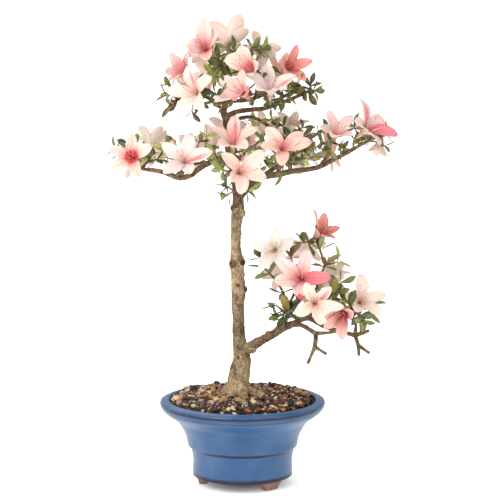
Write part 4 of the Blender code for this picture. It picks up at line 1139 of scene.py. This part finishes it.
class AZALEA_OT_gravel(PieceOperator, bpy.types.Operator):
    """Strews grains of crushed stone over the soil"""

    bl_idname = "azalea.gravel"
    bl_label = "Gravel"

    def execute(self, context):
        settings = context.scene.azalea_gravel
        chance = random.Random("gravel")
        stones = [self.stone(chance) for _ in range(STONE_SHAPES)]
        lit_and_shaded_mixes = [[kind[3 + side] for kind in GRAINS] for side in range(2)]
        corners, faces, looks = [], [], []
        for number in range(settings.count):
            radius = STREWN_RADIUS * math.sqrt(chance.random())
            angle = chance.uniform(0, 2 * math.pi)
            x, y = radius * math.cos(angle), radius * math.sin(angle)
            growth = chance.random() ** MOSTLY_SMALL
            half = settings.smallest + (settings.largest - settings.smallest) * growth
            lift = chance.uniform(-2.4, 1.2)
            turn = Matrix.Rotation(chance.uniform(0, 6.28), 3, "Z")
            for axis in "XY":
                turn = turn @ Matrix.Rotation(chance.uniform(-0.7, 0.7), 3, axis)
            stretch = Matrix.Diagonal((1, chance.uniform(0.6, 0.9), chance.uniform(0.4, 0.7))) * half
            # Towards the right, the mix with more dark grains: painted shade.
            look = chance.choices(range(len(GRAINS)), lit_and_shaded_mixes[x > SHADED_SIDE * chance.random()])[0]
            beside = x - TRUNK_COURSE[0][0]
            in_trunk = math.hypot(beside, y) < TRUNK_GAP + root_reach(math.atan2(y, beside), 3)
            if in_trunk or radius > RIM_INSIDE - half * 0.8:
                continue
            centre = Vector((x, y, soil_height(radius) + lift + 0.6))
            points, sides = stones[number % STONE_SHAPES]
            first = len(corners)
            corners += [centre + turn @ stretch @ point for point in points]
            faces += [tuple(first + corner for corner in side) for side in sides]
            looks += [look] * len(sides)
        mesh = bpy.data.meshes.new("gravel")
        mesh.from_pydata(corners, [], faces)
        mesh.polygons.foreach_set("material_index", looks)
        gravel = piece("gravel", mesh, [grain_material(*kind[:3]) for kind in GRAINS])
        gravel.data.shade_flat()
        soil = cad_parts["soil"]
        soil.data.materials.clear()
        soil.data.materials.append(grain_material("dark soil", "#281B13", 0.5))
        return {"FINISHED"}

    def stone(self, chance):
        """The corners and sides of one broken stone of about unit radius."""
        made = bmesh.new()
        bmesh.ops.create_icosphere(made, subdivisions=1, radius=1)
        for corner in made.verts:
            corner.co *= chance.uniform(*STONE_RADII)
        bmesh.ops.bevel(made, geom=made.edges[:], offset=STONE_WEAR, segments=1, profile=0.5,
                        material=-1, affect="EDGES")
        mesh = as_mesh("stone", made)
        stone = ([corner.co.copy() for corner in mesh.vertices],
                 [tuple(face.vertices) for face in mesh.polygons])
        bpy.data.meshes.remove(mesh)
        return stone


class AZALEA_OT_wood(PieceOperator, bpy.types.Operator):
    """Grows the trunk and boughs in one skin and cuts the bark's relief into it"""

    bl_idname = "azalea.wood"
    bl_label = "Trunk and boughs"

    def execute(self, context):
        settings = context.scene.azalea_wood
        courses = [through(TRUNK_COURSE, TRUNK_STEP)]
        courses += [through(course, LIMB_STEP) for course in BOUGHS.values()]
        courses += [self.root_course(*root) for root in ROOTS]
        made = tubes([[(*point[:3], point[3] + settings.extra) for point in course] for course in courses], 4)
        holder = add_object("skin", as_mesh("skin", made))
        remesh = holder.modifiers.new("one skin", "REMESH")
        remesh.mode = "VOXEL"
        remesh.voxel_size = settings.skin
        soften = holder.modifiers.new("soften", "SMOOTH")
        soften.iterations = 3
        mesh = evaluated(holder)
        bpy.data.objects.remove(holder)
        looks = self.raise_bark(mesh, courses, settings.relief)
        mesh.polygons.foreach_set("material_index", [looks[side.vertices[0]] for side in mesh.polygons])
        light, dark, young, scar = (Vector(colour) for colour in (
            settings.light, settings.dark, settings.young, settings.scar))
        # The weathered bark also carries painted shade, by height.
        materials = [
            bark_material("weathered bark", light, dark, 10.0, BARK_SHADE_BANDS),
            bark_material("young bark", young, young * 0.4, 6.0),
            bark_material("healed cut", scar, scar * 0.3, 2.5),
            bark_material("fresh callus", light * 0.9, dark, 3.0)]
        wood = [name for name in NODES if name.startswith(("trunk", "bough"))]
        piece("wood", mesh, materials, wood)
        return {"FINISHED"}

    def root_course(self, turn, length, width):
        """A surface root that leaves the trunk's foot and dives into the soil."""
        out = Vector((math.cos(math.radians(turn)), math.sin(math.radians(turn)), 0))
        foot = TRUNK_COURSE[0][0]
        thick = 4.2 + 22 / width
        shape = ((4, 14, 0.9), (11, 7, 1.0), (16 + length * 0.5, 1.0, 0.8), (19 + length, -6, 0.55))
        return [(*(Vector((foot, 0, SOIL_TOP + 2 + lift)) + out * reach), thick * share)
                for reach, lift, share in shape]

    def knobs(self, boughs):
        """Those of the trunk and small seeded ones on the boughs, and a tree of their places."""
        chance = random.Random("knobs")
        knobs = [(Vector(knob[:3]), *knob[3:]) for knob in KNOBS]
        for course in boughs:
            for point in course[2::3]:
                side = Vector([chance.uniform(-1, 1) for _ in range(3)]).normalized()
                knobs.append((Vector(point[:3]) + side * point[3], chance.uniform(*SMALL_KNOB),
                              chance.uniform(*SMALL_RISE), YOUNG))
        return knobs, tree_of([knob[0] for knob in knobs])

    def raise_bark(self, mesh, courses, relief):
        """Moves each point of the skin along its normal, into cracks, knobs and healed cuts, and
        gives the look of the bark at each point."""
        limbs = [(number, point) for number, course in enumerate(courses) for point in course]
        near = tree_of([point[:3] for _, point in limbs])
        old = (0, *range(len(BOUGHS) + 1, len(courses)))  # the trunk and its roots
        low_bough = 1 + list(BOUGHS).index("bough_low")
        knobs, bumps = self.knobs(courses[1:len(BOUGHS) + 1])
        moved, looks = [], []
        for corner in mesh.vertices:
            place = corner.co
            limb, point = limbs[near.find(place)[1]]
            aged = limb in old and place.z < YOUNG_FROM or limb == low_bough and place.x < OLD_AT_FORK
            look = OLD if aged else YOUNG
            drawn = Vector((place.x, place.y, place.z * 0.5))
            coarse = noise.noise(drawn / 4.4)
            fine = noise.noise(drawn / 1.9 + Vector((7, 3, 1)))
            crack = max(0, CRACK_SHARE - abs(fine)) / CRACK_SHARE
            push = relief * min(1.0, point[3] / 8) ** 0.8 * (0.75 * coarse - 0.9 * crack + 0.3 * fine)
            for _, index, distance in bumps.find_range(place, KNOB_REACH):
                _, wide, rise, knob_look = knobs[index]
                share = distance / wide
                if share < 1.6:
                    ring = math.exp(-((share - 0.6) / 0.34) ** 2)
                    push += rise * (ring if rise > RIM_FROM else math.exp(-share * share * 2))
                if share < 0.95 + 0.3 * coarse:
                    look = knob_look
            moved.append(place + corner.normal * push)
            looks.append(look)
        for corner, place in zip(mesh.vertices, moved):
            corner.co = place
        return looks


def tree_of(places):
    tree = KDTree(len(places))
    for index, place in enumerate(places):
        tree.insert(place, index)
    tree.balance()
    return tree


BRANCHES = {}  # what branch() gives for each mass, filled by the twigs


class AZALEA_OT_twigs(PieceOperator, bpy.types.Operator):
    """Branches each mass's twigs from the tip of its bough"""

    bl_idname = "azalea.twigs"
    bl_label = "Twigs"

    def execute(self, context):
        courses = []
        for mass in MASSES:
            BRANCHES[mass.name] = branch(mass)
            twigs, _, _, _, most = BRANCHES[mass.name]
            swell = DRY_SWELL if mass.stubs else 1.0
            for twig in twigs:
                course = [(*fork.place, min(fork.radius(), most) * swell) for fork in twig]
                if twig[-1].ends == 1 and len(twig) > 2:
                    course[-1] = (*twig[-1].place, TWIG_RADIUS * 0.7)
                courses.append(through(course, LIMB_STEP))
        dark, light = Vector(linear("#3A2A18")), Vector(linear("#826B49"))
        nodes = [name for name in NODES if name.startswith(("foliage", "twigs"))]
        piece("twigs", tubes(courses, 1), [bark_material("twig bark", light, dark, 5.0)], nodes)
        return {"FINISHED"}


class AZALEA_OT_leaves(PieceOperator, bpy.types.Operator):
    """Sets rosettes of leaves at the ends of the twigs and under the blooms"""

    bl_idname = "azalea.leaves"
    bl_label = "Leaves"

    def execute(self, context):
        settings = context.scene.azalea_leaf
        meshes = [bmesh.new() for _ in LEAF_LOOKS]
        layers = [made.loops.layers.uv.new(OWN_MAP) for made in meshes]
        shares = [look[3] for look in LEAF_LOOKS]
        for mass in MASSES:
            _, flowers, leafy, finer, _ = BRANCHES[mass.name]
            chance = random.Random(mass.name + " leaves")
            shaded = SHADE_GROWTH if mass.middle[2] < SHADED_BELOW else 1.0
            lengths = (settings.shortest * shaded, settings.longest * shaded)
            groups = ((flowers, 2, (60, 95)), (leafy, settings.leaves, (28, 85)),
                      (finer, settings.leaves - 2, (35, 85)))
            for ends, count, leans in groups:
                for end, heading, _ in ends:
                    look = chance.choices(range(len(LEAF_LOOKS)), shares)[0]
                    at = end - heading * 3 if ends is flowers else end
                    for root, along, normal, length in rosette(at, heading, count, leans, lengths, chance):
                        if not within(mass, root + along * length, LEAF_ROOM):
                            continue
                        add_leaf(meshes[look], layers[look], root, along, normal, length,
                                 settings.width * chance.uniform(0.85, 1.15),
                                 chance.uniform(0.0, 0.22), chance.randrange(SHADES))
        for made, (name, colour, rib, _) in zip(meshes, LEAF_LOOKS):
            piece(name.replace(", ", "_").replace(" ", "_"), made,
                  [leaf_material(name, colour, rib)])
        return {"FINISHED"}


def open_blooms(mass):
    return [bloom for bloom in mass.blooms if bloom.form != "bud"]


class AZALEA_OT_petals(PieceOperator, bpy.types.Operator):
    """Opens the blooms, one piece for the petals of each tint"""

    bl_idname = "azalea.petals"
    bl_label = "Petals"

    def execute(self, context):
        meshes = {name: bmesh.new() for name in TINTS}
        layers = {name: made.loops.layers.uv.new(OWN_MAP) for name, made in meshes.items()}
        for mass in MASSES:
            chance = random.Random(mass.name + " petals")
            for bloom in open_blooms(mass):
                for number in range(PETALS):
                    tint = dict(bloom.marks).get(number, bloom.tint)
                    add_petal(meshes[tint], layers[tint], bloom, number, chance)
                add_throat(meshes[bloom.tint], layers[bloom.tint], bloom)
        for name, made in meshes.items():
            piece(f"petals_{name}", made, [petal_material(name, TINTS[name])])
        return {"FINISHED"}


class AZALEA_OT_stamens(PieceOperator, bpy.types.Operator):
    """Sets stamens with their anthers, and a pistil, in each open bloom"""

    bl_idname = "azalea.stamens"
    bl_label = "Stamens"

    def execute(self, context):
        courses, anthers = [], bmesh.new()
        for mass in MASSES:
            chance = random.Random(mass.name + " stamens")
            for bloom in open_blooms(mass):
                for number in range(context.scene.azalea_bloom.stamens + 1):
                    pistil = number == 0
                    course = self.filament(bloom, chance, pistil)
                    courses.append(course)
                    bmesh.ops.create_icosphere(anthers, subdivisions=1, radius=0.45 if pistil else 0.62,
                                               matrix=Matrix.Translation(course[-1][:3]))
        piece("filaments", tubes(courses, 0), [plain_material("filament", "#EBA3A0", 0.5, 9)])
        piece("anthers", anthers, [plain_material("anther", "#7A4A44", 0.6, 2)])
        return {"FINISHED"}

    def filament(self, bloom, chance, pistil):
        """A thread from the throat that spreads a little and turns up at its end."""
        axis = aim_vector(bloom.turn, bloom.lift)
        aside = round_about(axis, chance.uniform(0, 2 * math.pi)) * chance.uniform(0.08, 0.30)
        length = bloom.size * (36 if pistil else chance.uniform(22, 31))
        rise = Vector((0, 0, 1)) * chance.uniform(0.12, 0.3)
        start = throat_middle(bloom) - axis * 6 * bloom.size
        course = []
        for step in range(FILAMENT_STEPS + 1):
            share = step / FILAMENT_STEPS
            point = start + (axis + aside * (0.4 + share) + rise * (share * share - 0.35)) * length * share
            course.append((*point, FILAMENT_RADIUS * (1.25 if pistil else 1)))
        return course


class AZALEA_OT_buds(PieceOperator, bpy.types.Operator):
    """Adds the closed buds and the scales under blooms"""

    bl_idname = "azalea.buds"
    bl_label = "Buds and scales"

    def execute(self, context):
        buds = {}
        scales = bmesh.new()
        layer = scales.loops.layers.uv.new(OWN_MAP)
        for mass in MASSES:
            chance = random.Random(mass.name + " scales")
            for bloom in mass.blooms:
                foot, axis, _ = bloom_foot(bloom)
                foot -= axis * 2
                if bloom.form == "bud":
                    length, radius = BUD_LENGTH * bloom.size, BUD_RADIUS * bloom.size
                    course = [(*(foot + axis * length * along), radius * share) for along, share in BUD_SHAPE]
                    buds.setdefault(bloom.tint, []).append(through(course, BUD_STEP))
                for root, along, normal, length in rosette(foot, axis, SCALES, (12, 30), (9, 15), chance):
                    add_leaf(scales, layer, root, along, normal, length, 0.42, -0.1,
                             chance.randrange(SHADES))
        for tint, courses in buds.items():
            material = plain_material(f"bud, {tint}", BUD_COLOURS[tint], 0.5, 6)
            piece(f"buds_{tint}", tubes(courses, 3), [material])
        piece("scales", scales, [leaf_material("bud scale", "#7E7434", "#AFA560")])
        return {"FINISHED"}


class AZALEA_OT_stage(PieceOperator, bpy.types.Operator):
    """Sets the floor, the soft light and the camera"""

    bl_idname = "azalea.stage"
    bl_label = "Stage"

    def execute(self, context):
        self.set_floor(context.scene.azalea_stage)
        self.set_light(context.scene, context.scene.azalea_stage)
        self.set_camera(context.scene)
        return {"FINISHED"}

    def set_floor(self, settings):
        """Pale paper that gives some light itself, away from the pot's foot."""
        made = bmesh.new()
        bmesh.ops.create_grid(made, x_segments=1, y_segments=1, size=FLOOR_SIZE)
        look = Look("pale backdrop paper", 0.9, Base_Color=(*settings.floor, 1),
                    Emission_Color=(*settings.floor, 1))
        place = add(look.tree, "ShaderNodeTexCoord").outputs["Object"]
        away = add(look.tree, "ShaderNodeVectorMath", {0: place, 1: POT_AXIS}, operation="DISTANCE")
        glow = add(look.tree, "ShaderNodeMapRange", {
            "Value": away.outputs["Value"], "From Min": GLOW_FROM[0] * MM, "From Max": GLOW_FROM[1] * MM,
            "To Max": settings.glow})
        look.tree.links.new(glow.outputs["Result"], look.shader.inputs["Emission Strength"])
        floor = add_object("floor", as_mesh("floor", made))
        floor.data.materials.append(look.material)
        floor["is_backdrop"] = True

    def set_light(self, scene, settings):
        world = bpy.data.worlds.new("daylight")
        world.use_nodes = True
        sky = add(world.node_tree, "ShaderNodeTexCoord").outputs["Generated"]
        side = add(world.node_tree, "ShaderNodeVectorMath", {0: sky, 1: WINDOW_SIDE}, operation="DOT_PRODUCT")
        strength = add(world.node_tree, "ShaderNodeMapRange", {
            "Value": side.outputs["Value"], "From Min": -1.0, "To Min": settings.shade,
            "To Max": settings.daylight})
        background = world.node_tree.nodes["Background"]
        background.inputs["Color"].default_value = (1, 1, 1, 1)
        world.node_tree.links.new(strength.outputs["Result"], background.inputs["Strength"])
        scene.world = world
        scene.view_settings.view_transform = "Standard"
        for name, place, size, power in LAMPS:
            lamp = bpy.data.lights.new(name, "AREA")
            lamp.size = size
            lamp.energy = power
            light = add_object(name, lamp)
            light.location = place
            light.rotation_euler = (Vector(LAMPS_AIM) - light.location).to_track_quat("-Z", "Y").to_euler()

    def set_camera(self, scene):
        lens = bpy.data.cameras.new("camera")
        lens.sensor_width = SENSOR
        lens.lens = CAMERA_FOCAL / IMAGE_SIDE * SENSOR
        camera = add_object("camera", lens)
        camera.location = TO_FRAME @ Vector(CAMERA_PLACE)
        camera.rotation_euler = (math.radians(90 - CAMERA_PITCH), 0, 0)
        scene.camera = camera


OPERATORS = (
    AZALEA_OT_bowl, AZALEA_OT_feet, AZALEA_OT_gravel, AZALEA_OT_wood, AZALEA_OT_twigs,
    AZALEA_OT_leaves, AZALEA_OT_petals, AZALEA_OT_stamens, AZALEA_OT_buds, AZALEA_OT_stage,
)


class AZALEA_PT_panel(bpy.types.Panel):
    """Lists the pieces in the order in which they are made"""

    bl_label = "Azalea bonsai"
    bl_idname = "AZALEA_PT_panel"
    bl_space_type = "VIEW_3D"
    bl_region_type = "UI"
    bl_category = "Azalea"

    def draw(self, context):
        for operator in OPERATORS:
            self.layout.operator(operator.bl_idname)
        for name, group in SETTINGS.items():
            for prop in group.__annotations__:
                self.layout.prop(getattr(context.scene, name), prop)


CLASSES = (*SETTINGS.values(), *OPERATORS, AZALEA_PT_panel)


def register():
    for kind in CLASSES:
        bpy.utils.register_class(kind)
    for name, group in SETTINGS.items():
        setattr(bpy.types.Scene, name, bpy.props.PointerProperty(type=group))


def unregister():
    for name in SETTINGS:
        delattr(bpy.types.Scene, name)
    for kind in reversed(CLASSES):
        bpy.utils.unregister_class(kind)


def main():
    register()
    bpy.ops.azalea.bowl()
    bpy.ops.azalea.feet()
    bpy.ops.azalea.gravel()
    bpy.ops.azalea.wood()
    bpy.ops.azalea.twigs()
    bpy.ops.azalea.leaves()
    bpy.ops.azalea.petals()
    bpy.ops.azalea.stamens()
    bpy.ops.azalea.buds()
    bpy.ops.azalea.stage()
    boxes = {"cad": CAD_BOX, "visual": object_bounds()}
    {name: [list(corner) for corner in box] for name, box in boxes.items()}


if __name__ == "__main__":
    main()
